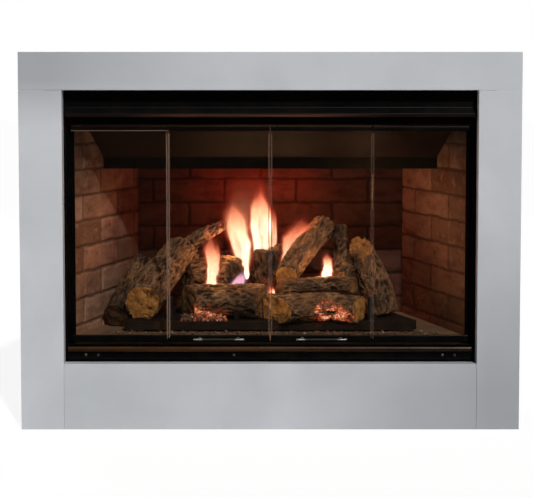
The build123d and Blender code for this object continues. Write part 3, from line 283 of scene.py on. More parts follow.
def firebrick(name, painted_light_gain, soot_and_shade_back, soot_and_shade_top):
    """Moulded refractory brick: each brick its own tone, sandy faces, recessed mortar, soot and painted
    shade.

    The painted_light_gain multiplies red, green and blue: painted light and shade, which makes a lit wall's
    bricks lighter and a shaded wall's darker. Soot and painted shade darken the far end by the share
    soot_and_shade_back, and everything above the height soot_and_shade_top, where the hood shades the wall.
    """
    p = Paint(name)
    tones = (
        (0.115, 0.050, 0.024), (0.22, 0.110, 0.060), (0.33, 0.185, 0.115), (0.27, 0.120, 0.060),
        (0.070, 0.040, 0.024),
    )
    # Painted light and shade: every tone is scaled by how brightly this wall is lit.
    burnt, warm, pale, red, mortar = ([a * b for a, b in zip(painted_light_gain, tone)] for tone in tones)
    colour = p.ramp(p.attribute("brick"), (0.0, burnt), (0.25, warm), (0.62, pale), (1.0, red))
    flash = p.noise(16, 5, 0.62, stretch=(1, 1, 2.2))
    colour = p.mix(p.span(flash, 0.44, 0.66, 0.0, 0.75), colour, burnt)
    colour = p.mix(p.span(p.noise(34, 4, 0.7), 0.56, 0.70, 0.0, 0.6), colour, [1.25 * c for c in pale])
    sand = p.noise(210, 4, 0.65)
    colour = p.mix(p.span(sand, 0.5, 0.8, 0.0, 0.4), colour, [1.2 * c for c in pale])
    colour = p.mix(p.span(p.attribute("joint"), 0.25, 0.95, 0.0, 0.8), colour, mortar)
    # Soot and painted shade: the hood's shadow at the top and the dim far end are painted dark.
    soot_and_shade = p.span(p.axis("Z"), soot_and_shade_top - 0.18, soot_and_shade_top)
    soot_and_shade = p.times(soot_and_shade, p.span(p.noise(7, 4), 0.3, 0.65, 0.6, 1.0))
    far = p.times(p.span(p.axis("Y"), slab_face + 0.20, slab_face + 0.36), soot_and_shade_back)
    colour = p.mix(p.larger(soot_and_shade, far), colour, (0.025, 0.015, 0.010))
    pits = p.span(p.cells(330), 0.02, 0.16)
    lumps = p.bump(p.noise(90, 6, 0.68), 0.0016, 0.7)
    p.set(Base_Color=colour, Roughness=p.span(sand, 0.3, 0.7, 0.82, 0.96))
    p.set(Normal=p.bump(pits, 0.0006, 0.5, lumps), Specular_IOR_Level=0.2)
    return p.material


def log_bark(name):
    """Moulded refractory log: ridged bark, darker in its troughs and paler on its crests, partly painted
    shade and highlight, tan cut ends, char that in places is painted shade, and glowing cracks.
    """
    p = Paint(name)
    high = p.attribute("ridge")
    # The bark's tone by height: partly its own colour, partly painted shade in the troughs and a painted
    # highlight on the crests.
    colour = p.ramp(high, (0.0, (0.032, 0.013, 0.006)), (0.30, (0.11, 0.050, 0.020)),
                    (0.66, (0.24, 0.112, 0.044)), (1.0, (0.45, 0.25, 0.125)))
    moss = p.noise(22, 5, 0.62)
    colour = p.mix(p.span(moss, 0.5, 0.7, 0.0, 0.5), colour, (0.105, 0.066, 0.028))
    rust = p.noise(13, 3, 0.5)
    colour = p.mix(p.span(rust, 0.52, 0.7, 0.0, 0.6), colour, (0.27, 0.12, 0.055))
    fleck = p.plus(p.cells(150, stretch=(1, 1, 1.4)), p.times(p.noise(420, 4, 0.7), 0.7))
    speck = p.times(p.span(fleck, 0.74, 0.58), p.span(p.noise(42, 3), 0.47, 0.60))
    colour = p.mix(p.times(speck, 0.6), colour, (0.50, 0.34, 0.20))
    ragged = p.span(p.noise(55, 5, 0.7), 0.30, 0.70, -0.45, 0.45)
    cut = p.span(p.plus(p.attribute("cut"), ragged), 0.38, 0.62)
    rings = p.span(p.noise(120, 5, 0.7), 0.35, 0.68)
    wood = p.mix(rings, (0.42, 0.145, 0.026), (0.98, 0.46, 0.115))
    stain = p.span(p.noise(34, 6, 0.75, twist=1.2), 0.53, 0.61, 0.0, 0.85)
    wood = p.mix(stain, wood, (0.10, 0.032, 0.010))
    colour = p.mix(p.times(cut, p.attribute("wood")), colour, wood)
    # Char darkens the bark. On the far left log's low end it is also painted shade.
    char_and_shade = p.times(p.attribute("char_and_shade"), p.span(p.noise(30, 4, 0.6), 0.25, 0.6))
    colour = p.mix(char_and_shade, colour, (0.012, 0.009, 0.008))
    cracks = p.span(p.cells(150, feature="DISTANCE_TO_EDGE"), 0.13, 0.02)
    patchy = p.span(p.noise(45, 3, 0.6), 0.42, 0.66)
    hottest = p.larger(cracks, p.times(patchy, 0.34))
    heat = p.times(p.times(p.attribute("glow"), hottest), patchy)
    fire = p.ramp(heat, (0.0, (0.25, 0.01, 0.0)), (0.3, (0.9, 0.10, 0.03)),
                  (0.65, (1.0, 0.36, 0.14)), (1.0, (1.0, 0.82, 0.62)))
    fine = p.noise(340, 5, 0.7)
    rough = p.bump(p.noise(150, 6, 0.7), 0.0016, 0.8)
    torn = p.bump(p.times(cut, p.noise(85, 6, 0.8)), 0.005, 0.9, rough)
    p.set(Base_Color=colour, Roughness=p.span(fine, 0.3, 0.7, 0.72, 0.94))
    p.set(Normal=p.bump(fine, 0.0005, 0.6, torn), Specular_IOR_Level=0.25)
    p.shine_by_itself(fire, p.span(heat, 0.06, 0.9, 0.0, 2.6))
    return p.material


def ember_rock(name):
    """Grey and rust lumps, a few chalk white ones, and a hot heart in the lumps on the pan."""
    p = Paint(name)
    tone = p.noise(85, 3, 0.6)
    colour = p.ramp(tone, (0.30, (0.040, 0.020, 0.010)), (0.48, (0.16, 0.085, 0.040)),
                    (0.62, (0.30, 0.19, 0.11)), (0.70, (0.80, 0.72, 0.62)))
    colour = p.mix(p.span(p.noise(33, 2), 0.5, 0.7, 0.0, 0.7), colour, (0.16, 0.07, 0.035))
    on_pan = p.span(p.axis("Z"), (pan_top - 5) / 1000, (pan_top + 1) / 1000)
    hot = p.times(on_pan, p.span(p.noise(34, 5, 0.85), 0.44, 0.72))
    fire = p.ramp(hot, (0.0, (0.35, 0.04, 0.015)), (0.45, (0.85, 0.16, 0.06)),
                  (0.8, (1.0, 0.45, 0.25)), (1.0, (1.0, 0.85, 0.70)))
    grit = p.noise(420, 5, 0.7)
    p.set(Base_Color=colour, Roughness=p.span(grit, 0.3, 0.7, 0.75, 0.95), Normal=p.bump(grit, 0.0008, 0.8))
    p.shine_by_itself(fire, p.span(hot, 0.1, 1.0, 0.0, 1.3))
    return p.material


def bright_metal(name, light, dark, rough):
    """Polished or turned metal with faint brushing and finger marks."""
    p = Paint(name)
    smear = p.noise(40, 4, 0.6)
    p.set(Base_Color=p.mix(p.span(smear, 0.35, 0.7), light, dark), Metallic=1.0)
    p.set(Roughness=p.span(smear, 0.3, 0.75, *rough), Normal=p.bump(p.noise(300, 3, 0.5), 0.00005, 0.4))
    return p.material


def cast_metal(name, dark, light, rough=(0.55, 0.8), metal=0.6, grain=0.0005, rust=None, shine=0.5):
    """Sand-cast skin, with rust or oxide in patches."""
    p = Paint(name)
    skin = p.noise(420, 4, 0.65)
    colour = p.mix(p.span(p.noise(25, 4, 0.6), 0.35, 0.7), dark, light)
    if rust:
        colour = p.mix(p.span(p.noise(18, 5, 0.65), 0.52, 0.68, 0.0, 0.8), colour, rust)
    worn = [min(1, c * 2.2 + 0.03) for c in light]
    colour = p.mix(p.times(p.edges(0.0015), 0.45), colour, worn)
    p.set(Base_Color=colour, Metallic=metal, Roughness=p.span(skin, 0.3, 0.7, *rough))
    p.set(Normal=p.bump(skin, grain, 0.7), Specular_IOR_Level=shine)
    return p.material


def plastic(name, colour, worn, rough):
    """Moulded plastic with a light spark texture and handling shine."""
    p = Paint(name)
    rub = p.noise(30, 4, 0.6)
    tone = p.mix(p.span(rub, 0.45, 0.75, 0.0, 0.6), colour, worn)
    sparks = p.bump(p.noise(800, 2, 0.5), 0.00012, 0.5)
    p.set(Base_Color=tone, Roughness=p.span(rub, 0.3, 0.7, *rough), Normal=sparks)
    return p.material


def bar_pull(name, low, high):
    """A black bar with its ends and posts bright plated."""
    p = Paint(name)
    x = p.axis("X")
    black_from, plated_to = 0.026, 0.018
    left = p.span(x, low.x + black_from, low.x + plated_to)
    right = p.span(x, high.x - black_from, high.x - plated_to)
    bright = p.larger(left, right)
    bright = p.times(bright, p.span(p.noise(160, 3), 0.40, 0.52, 0.25, 1.0))
    smear = p.noise(60, 4, 0.6)
    p.set(Base_Color=p.mix(bright, (0.006, 0.006, 0.005), (0.26, 0.25, 0.23)), Metallic=bright)
    p.set(Roughness=p.span(smear, 0.3, 0.75, 0.30, 0.50), Normal=p.bump(p.noise(300, 3), 0.00005, 0.4))
    p.set(Specular_IOR_Level=0.2)
    return p.material


def hearth_board(name):
    """Cast refractory board, stained by heat."""
    p = Paint(name)
    stain = p.noise(9, 5, 0.6)
    grit = p.noise(260, 4, 0.65)
    colour = p.mix(p.span(stain, 0.35, 0.7), (0.15, 0.078, 0.036), (0.30, 0.17, 0.085))
    colour = p.mix(p.span(grit, 0.55, 0.8, 0.0, 0.5), colour, (0.42, 0.27, 0.16))
    p.set(Base_Color=colour, Roughness=p.span(grit, 0.3, 0.7, 0.8, 0.95), Normal=p.bump(grit, 0.0007, 0.6))
    return p.material


def heat_tint_and_painted_glow_steel(name):
    """Black painted sheet for the baffle, browned partly by heat and partly as a painted glow of the fire's
    light, with its lower lip darker.
    """
    p = Paint(name)
    bloom = p.noise(5, 5, 0.6, stretch=(1, 2, 2))
    # The brown is partly heat tint and partly painted glow in place of the fire's light on the sloped face.
    colour = p.mix(p.span(bloom, 0.35, 0.7), (0.020, 0.010, 0.006), (0.044, 0.021, 0.011))
    lip_top, lip_dark = 0.694, 0.686
    lip = p.span(p.axis("Z"), lip_top, lip_dark)
    colour = p.mix(p.times(lip, 0.85), colour, (0.012, 0.010, 0.004))
    p.set(Base_Color=colour, Roughness=p.span(bloom, 0.3, 0.7, 0.45, 0.7))
    p.set(Normal=p.bump(p.noise(500, 3), 0.0001, 0.4), Specular_IOR_Level=0.15)
    return p.material


def smoked_glass(name, low, high, lit):
    """Smoked toughened glass; a painted highlight lies along the ground edges beside the next panel, where
    they catch the light.
    """
    p = Paint(name)
    x = p.axis("X")
    inside, ground = 0.0042, 0.0030
    left = p.span(x, low.x + inside, low.x + ground)
    right = p.span(x, high.x - inside, high.x - ground)
    # Painted highlight: the edge bands are lighter and less clear.
    ends = p.larger(p.times(left, lit[0]), p.times(right, lit[1]))
    edge = p.times(ends, p.span(p.axis("Z"), high.z - 0.004, high.z - 0.02))
    haze = p.span(p.noise(4, 5, 0.6), 0.45, 0.8)
    smear = p.span(p.noise(24, 4, 0.6, stretch=(1, 1, 0.25)), 0.5, 0.8)
    film = p.times(p.larger(haze, smear), 0.05)
    p.set(Base_Color=p.mix(edge, (0.004, 0.003, 0.002), (0.15, 0.095, 0.068)))
    p.set(Alpha=p.larger(p.plus(film, 0.23), p.times(edge, 0.7)))
    p.set(Roughness=p.span(smear, 0.0, 1.0, 0.05, 0.14))
    p.set(Normal=p.bump(p.noise(6, 2, 0.4), 0.0001, 0.15), Specular_IOR_Level=0.16)
    return p.material


def flame_gas(name):
    """Burning gas: colour and opacity come from the flame's own layers."""
    p = Paint(name)
    streak = p.span(p.noise(75, 4, 0.6, stretch=(1, 1, 0.22)), 0.28, 0.60, 0.5, 1.0)
    p.set(Base_Color=rgba((0, 0, 0)), Roughness=1.0, Specular_IOR_Level=0.0)
    p.set(Alpha=p.times(p.attribute("cover"), streak))
    p.shine_by_itself(p.attribute("fire", "Color"), p.attribute("power"))
    return p.material


black = black_paint("black_steel")
# The hood's lip carries a painted reflection of the fire, strongest above the flames.
hood_black = black_paint(
    "hood_black", shine=0.06, tint=(0.804, 0.810, (0.062, 0.022, 0.011)),
    middle=-0.04, reach=0.34, far=0.14)
# The head track's lower edge carries a thin painted highlight.
track_black = black_paint(
    "track_black", tint=(0.779, 0.7835, (0.085, 0.040, 0.022)), middle=-0.05, reach=0.45, far=0.4)
rail_look = {"dark": (0.0015, 0.0012, 0.001), "rough": (0.28, 0.42), "shine": 0.12}
rail_black = black_paint("rail_black", **rail_look)
# The left outer rails carry a thin tan painted highlight along their lower edge.
rail_painted_highlight = black_paint("rail_painted_highlight", tint=(0.765, 0.7685, (0.20, 0.13, 0.09)), **rail_look)
# The access door's rolled top edge carries a brown painted reflection of the fire.
bead_black = black_paint(
    "bead_black", rough=(0.22, 0.36), shine=0.15, tint=(0.195, 0.2085, (0.055, 0.020, 0.005)),
    middle=-0.13, reach=0.5, far=0.3)
# The brick retainers are the black paint made lighter: painted light for the key light falling on them.
strip_steel_painted_lit = black_paint(
    "strip_steel_painted_lit", dark=(0.11, 0.09, 0.055), dust=(0.14, 0.12, 0.07), rough=(0.4, 0.6), shine=0.1)
browned_and_painted_light = heat_tint_and_painted_glow_steel("heat_tint_and_painted_glow_steel")
zinc = galvanised("galvanised")
screw_steel = bright_metal("screw_steel", (0.22, 0.20, 0.17), (0.10, 0.09, 0.08), rough=(0.25, 0.5))
tube_steel = bright_metal("tube_steel", (0.50, 0.49, 0.47), (0.26, 0.23, 0.20), rough=(0.35, 0.6))
brass = bright_metal("brass", (0.80, 0.60, 0.26), (0.52, 0.36, 0.14), rough=(0.2, 0.4))
valve_alloy = cast_metal(
    "valve_alloy", (0.46, 0.46, 0.47), (0.62, 0.62, 0.63), rough=(0.35, 0.55), metal=0.9, grain=0.0002)
cast_grate = cast_metal(
    "cast_grate", (0.008, 0.007, 0.006), (0.022, 0.018, 0.015), rust=(0.06, 0.026, 0.012))
burner_enamel = cast_metal(
    "burner_enamel", (0.014, 0.008, 0.005), (0.036, 0.019, 0.010), metal=0.0, rust=(0.065, 0.024, 0.010),
    shine=0.12)
stone = slab_stone("slab_stone", 0.35)
stone_low = slab_stone("slab_stone_low", 0.9, light=(0.475, 0.49, 0.525), dark=(0.40, 0.415, 0.44))
board_grey = hearth_board("hearth_board")
bark = log_bark("log_bark")
rock = ember_rock("ember_rock")
black_plastic = plastic("black_plastic", (0.012, 0.012, 0.012), (0.04, 0.04, 0.04), (0.4, 0.6))
red_plastic = plastic("red_plastic", (0.40, 0.02, 0.015), (0.5, 0.08, 0.06), (0.2, 0.4))
gas = flame_gas("flame_gas")

finishes = {
    stone: ("header_slab", "left_leg_slab", "right_leg_slab"),
    stone_low: ("bottom_slab",),
    black: ("face_frame", "door_sill", "door_jambs", "firebox_shell"),
    track_black: ("head_track",),
    hood_black: ("hood",),
    strip_steel_painted_lit: ("brick_retainers",),
    rail_black: ("left_inner_rails", "right_outer_rails", "right_inner_rails"),
    rail_painted_highlight: ("left_outer_rails",),
    bead_black: ("access_door",),
    browned_and_painted_light: ("smoke_baffle",),
    zinc: (
        "casing_wrap", "casing_base", "casing_top", "flue_collar", "nailing_tabs", "firebox_supports",
        "valve_bracket",
    ),
    tube_steel: ("burner_tube", "air_shutter", "gas_lines", "pilot_assembly"),
    screw_steel: ("access_door_screws", "left_door_pins", "right_door_pins"),
    brass: ("gas_inlet",),
    valve_alloy: ("gas_valve",),
    cast_grate: ("grate",),
    burner_enamel: ("burner_pan",),
    board_grey: ("hearth_floor",),
    rock: ("ember_bed",),
    black_plastic: ("gas_control_knob", "flame_height_knob", "igniter_body"),
    red_plastic: ("igniter_button",),
}
# How strongly the painted highlight shows on the left and right ends of each pane.
lit_edges = {
    "left_outer_pane": (0, 1), "left_inner_pane": (1, 0.7),
    "right_inner_pane": (0.7, 0.5), "right_outer_pane": (0.5, 0),
}


def dress(thing, material):
    thing.data.materials.clear()
    thing.data.materials.append(material)


for material, names in finishes.items():
    for name in names:
        dress(nodes[name], material)
for name in ("left_bar_pull", "right_bar_pull"):
    dress(nodes[name], bar_pull(name + "_plating", *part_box(name)))
for name, lit in lit_edges.items():
    dress(nodes[name], smoked_glass(name + "_glass", *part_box(name), lit))


# Meshes
def fixed_piece(mesh, material):
    """Puts the mesh in the scene, on the body that stays still."""
    piece = bpy.data.objects.new(mesh.name, mesh)
    bpy.context.scene.collection.objects.link(piece)
    dress(piece, material)
    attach(piece, "root")
    return piece


def smooth_piece(name, points, faces, material):
    mesh = bpy.data.meshes.new(name)
    mesh.from_pydata([tuple(point) for point in points], [], faces)
    mesh.update()
    mesh.shade_smooth()
    return fixed_piece(mesh, material)


def paint_points(piece, name, values):
    """Keeps one number for each point of the mesh, for its material to read."""
    layer = piece.data.attributes.new(name, "FLOAT", "POINT")
    layer.data.foreach_set("value", np.asarray(values, np.float32))


def smoothstep(value, low, high):
    t = np.clip((value - low) / (high - low), 0, 1)
    return t * t * (3 - 2 * t)


def chance(a, b, seed):
    """A repeatable number from 0 to 1 for a pair of whole numbers."""
    return random.Random(1000003 * int(a) + 9176 * int(b) + seed).random()


# Brick walls, in millimetres: how proud the bricks stand, and the board behind them.
wall_base, wall_top = 217.0, 780.0
course, brick, joint, relief, board = 68.0, 206.0, 7.0, 5.0, 17.0
panel = relief + board
wall_step = 3.6


def face_inwards(piece, normal):
    """Turns the mesh right side out, judged by its first face."""
    if piece.data.polygons[0].normal.dot(normal) < 0:
        piece.data.flip_normals()


def brick_wall(name, node, corner, along, behind, length, first_joint, shift, seed, painted_light_gain,
               soot_and_shade_back=0.0, soot_and_shade_top=0.76):
    """A moulded panel over a CAD panel: tumbled brick faces stand a little proud of rough mortar.

    It runs along from its lower corner, and behind points into the wall. first_joint is the height
    of a bed joint and shift the place of an upright one, both in millimetres from that corner.
    """
    across = int(length / wall_step) + 1
    up = int((wall_top - wall_base) / wall_step) + 1
    points, tone, mortar = [], [], []
    for height in np.linspace(0, wall_top - wall_base, up):
        for run in np.linspace(0, length, across):
            place = Vector((run, height, seed * 100)) / 1000
            wobble = 3.0 * noise.noise(place * 26) + 1.5 * noise.noise(place * 85)
            row = math.floor((height + wobble - first_joint) / course)
            low = (height + wobble - first_joint) - row * course
            start = shift + (row % 2) * brick / 2
            column = math.floor((run + wobble - start) / brick)
            side = (run + wobble - start) - column * brick
            edge = min(low, course - low, side, brick - side) - joint / 2
            rounded = float(smoothstep(edge, -1.6, 2.6))
            sunk = (chance(row, column, seed) - 0.5) * 1.2
            tilt = sunk + (chance(row, column, seed + 5) - 0.5) * (side - brick / 2) / 90
            rough = 1.8 * abs(noise.noise(place * 42)) + 0.7 * abs(noise.noise(place * 170))
            depth = relief * (1 - rounded) + rounded * (0.7 + tilt * 0.6) + rough
            flat = corner + along * (run / 1000) + Vector((0, 0, height / 1000))
            points.append(flat + behind * (max(depth, 0.15) / 1000))
            tone.append(chance(row, column, seed + 9))
            mortar.append(1 - rounded)
    faces = []
    for j in range(up - 1):
        for i in range(across - 1):
            a = j * across + i
            faces.append((a, a + 1, a + across + 1, a + across))
    # The back is one flat face, joined to the front all the way round.
    rim = list(range(across))
    rim += [j * across + across - 1 for j in range(1, up)]
    rim += [(up - 1) * across + i for i in range(across - 2, -1, -1)]
    rim += [j * across for j in range(up - 2, 0, -1)]
    first, count = len(points), len(rim)
    for index in rim:
        flat = points[index] - behind * (points[index] - corner).dot(behind)
        points.append(flat + behind * (panel / 1000))
    tone += [tone[index] for index in rim]
    mortar += [1.0] * count
    for k in range(count):
        m = (k + 1) % count
        faces.append((rim[k], first + k, first + m, rim[m]))
    faces.append(tuple(range(first, first + count)))
    piece = smooth_piece(name, points, faces, firebrick(name + "_brick", painted_light_gain, soot_and_shade_back, soot_and_shade_top))
    paint_points(piece, "brick", tone)
    paint_points(piece, "joint", mortar)
    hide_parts(node)
    face_inwards(piece, -behind)


brick_front, firebox_back, front_half, splay_in = 67.2, 430.0, 508.0, 130.0
back_gap, end_gap, corner_lap = 0.3, 0.4, 1
splay = splay_in / (firebox_back - brick_front)
slant = math.hypot(1, splay)
side_length = (firebox_back - back_gap - brick_front) * slant
# The height of a bed joint above the foot of the panel, at the sides and at the back.
side_first = hearth_top + 22.5 - wall_base
back_first = hearth_top - 23.2 - wall_base
end_run = panel * splay + corner_lap
# Side, name, place of the first upright joint, seed, painted light gain (lightest for the lit left wall),
# soot and painted shade at the back, and the height where soot and painted shade begin at the top.
side_walls = (
    (-1, "left", 60.0, 2, (1.85, 1.85, 1.85), 0.65, 0.71),
    (1, "right", 110.0, 4, (1.5, 1.5, 1.5), 0.25, 0.76),
)
for side, name, shift, seed, painted_light_gain, soot_and_shade_back, soot_and_shade_top in side_walls:
    brick_wall(
        f"{name}_bricks", f"{name}_brick_panel", at(side * front_half, brick_front, wall_base),
        Vector((-side * splay / slant, 1 / slant, 0)), Vector((side / slant, splay / slant, 0)),
        side_length, side_first, shift - end_run, seed, painted_light_gain, soot_and_shade_back, soot_and_shade_top,
    )
back_half = front_half - splay_in - panel * splay + panel * slant - end_gap
back_shift = back_half - 28.0
# The back wall's painted light gain is low and red: painted shade, with a painted red glow of the fire.
brick_wall(
    "back_bricks", "back_brick_panel", at(-back_half, firebox_back, wall_base),
    Vector((1, 0, 0)), Vector((0, 1, 0)), 2 * back_half, back_first, back_shift, 11, (0.38, 0.27, 0.26),
)

# Logs
# The two ends of each log in millimetres across, deep and above the pan, and the way each end looks.
log_lines = {
    "log_front_centre": ((-222, 152, 45), (-20, 150, 45), (-0.85, -0.52, 0.0), (0.88, -0.48, 0.0)),
    "log_front_right": ((8, 118, 29), (242, 122, 30), (-0.68, -0.73, 0.0), (0.85, -0.53, 0.0)),
    "log_front_left": ((-342, 132, 41), (-232, 245, 179), (-0.27, -0.92, -0.28), (0.52, 0.54, 0.66)),
    "log_far_left": ((-414, 184, -7), (-346, 296, 139), (-0.40, -0.85, -0.35), (0.35, 0.57, 0.74)),
    "log_rear_right": ((300, 200, 1), (245, 238, 184), (0.26, -0.20, -0.94), (-0.25, -0.55, 0.80)),
    "log_thin": ((25, 144, 84), (226, 142, 91), (-0.88, -0.47, 0.0), (0.88, -0.47, 0.0)),
    "log_middle_left": ((-235, 225, 105), (-92, 203, 113), (-0.90, -0.44, 0.0), (0.80, -0.60, 0.05)),
    "log_rear_centre": ((-4, 290, 1), (-14, 250, 181), (0.05, 0.22, -0.97), (-0.05, -0.22, 0.97)),
    "log_diagonal": ((40, 174, 105), (158, 285, 242), (-0.36, -0.90, -0.25), (0.56, 0.52, 0.65)),
    "log_small_right": ((172, 180, 97), (213, 216, 141), (-0.45, -0.80, -0.40), (0.40, 0.10, 0.90)),
}
# Where each log is charred and where it glows: millimetres across, deep and up, then reach and strength. On
# the far left log's low end the char is also painted shade.
char_and_shade_spots = {
    "log_front_centre": [(-60, 120, 300, 60, 0.8), (-230, 150, 300, 40, 0.7)],
    "log_front_right": [(60, 110, 285, 40, 0.5)],
    "log_front_left": [(-205, 230, 445, 34, 1.0), (-240, 190, 330, 40, 0.6)],
    "log_far_left": [(-400, 200, 280, 90, 0.9), (-350, 290, 400, 60, 0.7)],
    "log_middle_left": [(-100, 200, 374, 45, 1.0)],
    "log_rear_centre": [(-10, 250, 400, 110, 0.9)],
    "log_diagonal": [(150, 280, 490, 50, 0.7)],
    "log_small_right": [(190, 250, 470, 60, 0.9)],
    "log_rear_right": [(285, 190, 300, 50, 0.5), (228, 205, 436, 40, 1.0)],
    "log_thin": [(30, 140, 345, 25, 0.4)],
}
glow_spots = {
    "log_front_right": [(150, 84, 282, 62, 1.0), (205, 88, 268, 45, 0.9)],
    "log_front_centre": [(-180, 118, 272, 58, 0.9), (-130, 118, 268, 40, 0.6)],
    "log_front_left": [(-140, 224, 488, 58, 1.0)],
    "log_middle_left": [(-150, 180, 352, 34, 0.4)],
    "log_diagonal": [(60, 150, 380, 25, 0.35)],
    "log_small_right": [(170, 160, 360, 40, 0.5)],
    "log_rear_right": [(262, 168, 330, 30, 0.3)],
    "log_rear_centre": [(6, 240, 330, 60, 0.35)],
}
# How much of the pale wood shows on each log's sawn ends.
usual_sawn_colour = 0.2
sawn_colour = {
    "log_front_left": 1.0, "log_front_right": 0.95, "log_diagonal": 0.95, "log_rear_right": 0.55,
    "log_far_left": 0.15, "log_middle_left": 0.12, "log_thin": 0.3,
}
log_voxel = 0.0034


def spots(table, name, points):
    """The strength of the log's spots at each point."""
    value = np.zeros(len(points))
    for x, depth, z, reach, strength in table.get(name, ()):
        far = np.linalg.norm(points - np.array(at(x, depth, z)), axis=1)
        value = np.maximum(value, strength * (1 - smoothstep(far, 0.35 * reach / 1000, reach / 1000)))
    return value


def remeshed(node, voxel):
    """The CAD node's shape as an even fine mesh of its own."""
    copy = bpy.data.objects.new("working", nodes[node].data.copy())
    bpy.context.scene.collection.objects.link(copy)
    step = copy.modifiers.new("even", "REMESH")
    step.mode = "VOXEL"
    step.voxel_size = voxel
    soften = copy.modifiers.new("soften", "SMOOTH")
    soften.factor = 0.5
    soften.iterations = 2
    shape = copy.evaluated_get(bpy.context.evaluated_depsgraph_get())
    mesh = bpy.data.meshes.new_from_object(shape)
    bpy.data.objects.remove(copy)
    return mesh


def sawn_share(points, normals, ends, looks):
    """1 on the flat sawn ends of a log and 0 on its bark, in metres from the middle of each end."""
    cut = np.zeros(len(points))
    for middle, look in zip(ends, looks):
        look = np.array(look) / np.linalg.norm(look)
        facing = smoothstep(normals @ look, 0.72, 0.92)
        level = 1 - smoothstep(np.abs((points - middle) @ look), 0.004, 0.010)
        near = 1 - smoothstep(np.linalg.norm(points - middle, axis=1), 0.075, 0.090)
        cut = np.maximum(cut, facing * level * near)
    return cut


def bark_log(name):
    """Bark ridges along the log and splinters on its sawn ends, over the CAD shape."""
    mesh = remeshed(name, log_voxel)
    mesh.name = name + "_bark"
    count = len(mesh.vertices)
    points = np.zeros(count * 3)
    normals = np.zeros(count * 3)
    mesh.vertices.foreach_get("co", points)
    mesh.vertices.foreach_get("normal", normals)
    points, normals = points.reshape(-1, 3), normals.reshape(-1, 3)
    start, end = (np.array(at(x, depth, pan_top + up)) for x, depth, up in log_lines[name][:2])
    cut = sawn_share(points, normals, (start, end), log_lines[name][2:])
    axis = (end - start) / np.linalg.norm(end - start)
    run = (points - start) @ axis
    spread = points - np.outer(run, axis)
    # Ridges are long and narrow: their noise is finer across the log than along it.
    finer_across, finer_along = 98, 42
    seed = Vector((len(name) * 0.37, ord(name[4]) * 0.11, ord(name[-1]) * 0.07))
    ridge, moved, splinter = np.zeros(count), np.zeros(count), np.zeros(count)
    for i in range(count):
        point = Vector(points[i])
        place = Vector(spread[i]) * finer_across + Vector(axis) * (run[i] * finer_along) + seed
        plates = 1 - abs(noise.noise(place)) * 2.2
        fine = 1 - abs(noise.noise(place * 2.3)) * 2.2
        lump = noise.noise(point * 24 + seed)
        ridge[i] = 0.62 * plates + 0.28 * fine + 0.3 * lump
        moved[i] = 0.0052 * (plates - 0.75) + 0.0020 * (fine - 0.7) + 0.003 * lump
        splinter[i] = noise.noise(point * 48 + seed) + 0.35 * noise.noise(point * 190)
    ridge = np.clip((ridge - 0.1) / 0.85, 0, 1)
    moved = np.clip(moved, -0.006, 0.0016)
    moved = moved * (1 - cut) + cut * np.clip(0.0060 * splinter - 0.0024, -0.008, 0.0008)
    points = points + normals * moved[:, None]
    mesh.vertices.foreach_set("co", points.ravel())
    mesh.update()
    mesh.shade_smooth()
    piece = fixed_piece(mesh, bark)
    paint_points(piece, "ridge", ridge)
    paint_points(piece, "cut", cut)
    paint_points(piece, "wood", np.full(count, sawn_colour.get(name, usual_sawn_colour)))
    paint_points(piece, "char_and_shade", spots(char_and_shade_spots, name, points))
    paint_points(piece, "glow", spots(glow_spots, name, points))
    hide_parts(name)


for name in log_lines:
    bark_log(name)


# Embers
def scatter_rocks(name, lumps, seed):
    """Broken lumps in one mesh, each a jittered icosphere. A lump is a spot and a size."""
    pick = random.Random(seed)
    shape = bmesh.new()
    for spot, size in lumps:
        made = bmesh.ops.create_icosphere(shape, subdivisions=1, radius=size / 2)
        stretch = Vector((pick.uniform(0.8, 1.25), pick.uniform(0.7, 1.0), pick.uniform(0.5, 0.8)))
        for vertex in made["verts"]:
            jitter = Vector([pick.uniform(0.82, 1.15) for _ in range(3)])
            vertex.co = Vector(a * b * c for a, b, c in zip(vertex.co, stretch, jitter)) + spot
    mesh = bpy.data.meshes.new(name)
    shape.to_mesh(mesh)
    shape.free()
    piece = fixed_piece(mesh, rock)


pick = random.Random(41)
# Gravel lies on the hearth in front of the pan. The middle of a lump is raised by these millimetres
# for a metre of its size, which is a little less than half of its height.
gravel_lumps, gravel_rise = 420, 240
gravel = []
for _ in range(gravel_lumps):
    depth = pick.uniform(78, 107)
    size = pick.uniform(0.0035, 0.0085)
    gravel.append((at(pick.uniform(-440, 440), depth, hearth_top + size * gravel_rise), size))
scatter_rocks("hearth_gravel", gravel, 5)
# A heap of embers is wedged between the pan and the underside of the front centre log.
heap_lumps, heap_top, lowest_rise = 150, 18, 350
log_depth, log_height, log_radius = 150, pan_top + 45, 46
heap = []
for _ in range(heap_lumps):
    size = pick.uniform(0.005, 0.012)
    up = pan_top + pick.uniform(size * lowest_rise, heap_top)
    under_log = log_depth - math.sqrt(log_radius ** 2 - (up - log_height) ** 2)
    heap.append((at(pick.uniform(-235, -118), pick.uniform(111, under_log + 2), up), size))
scatter_rocks("pan_embers", heap, 6)


# Flames
# The colours of the gas from its red rim to its pale heart, and of the base of a flame.
fire_steps = (
    (0.55, 0.02, 0.008), (0.85, 0.07, 0.03), (1.0, 0.24, 0.11), (1.0, 0.60, 0.33), (1.0, 0.95, 0.70),
)
fire_blue = Vector((0.85, 0.42, 0.60))
# Layers of a tongue from the outside in: share of its width, cover and warmth. The widest and faintest
# layers are a painted red glow around the flame.
fire_layers = (
    (2.30, 0.025, 0.10), (1.90, 0.040, 0.22), (1.60, 0.07, 0.38), (1.38, 0.13, 0.55),
    (1.22, 0.26, 0.74), (1.08, 0.46, 0.90), (0.94, 0.72, 1.0),
)
flame_rings, flame_sides = 34, 16


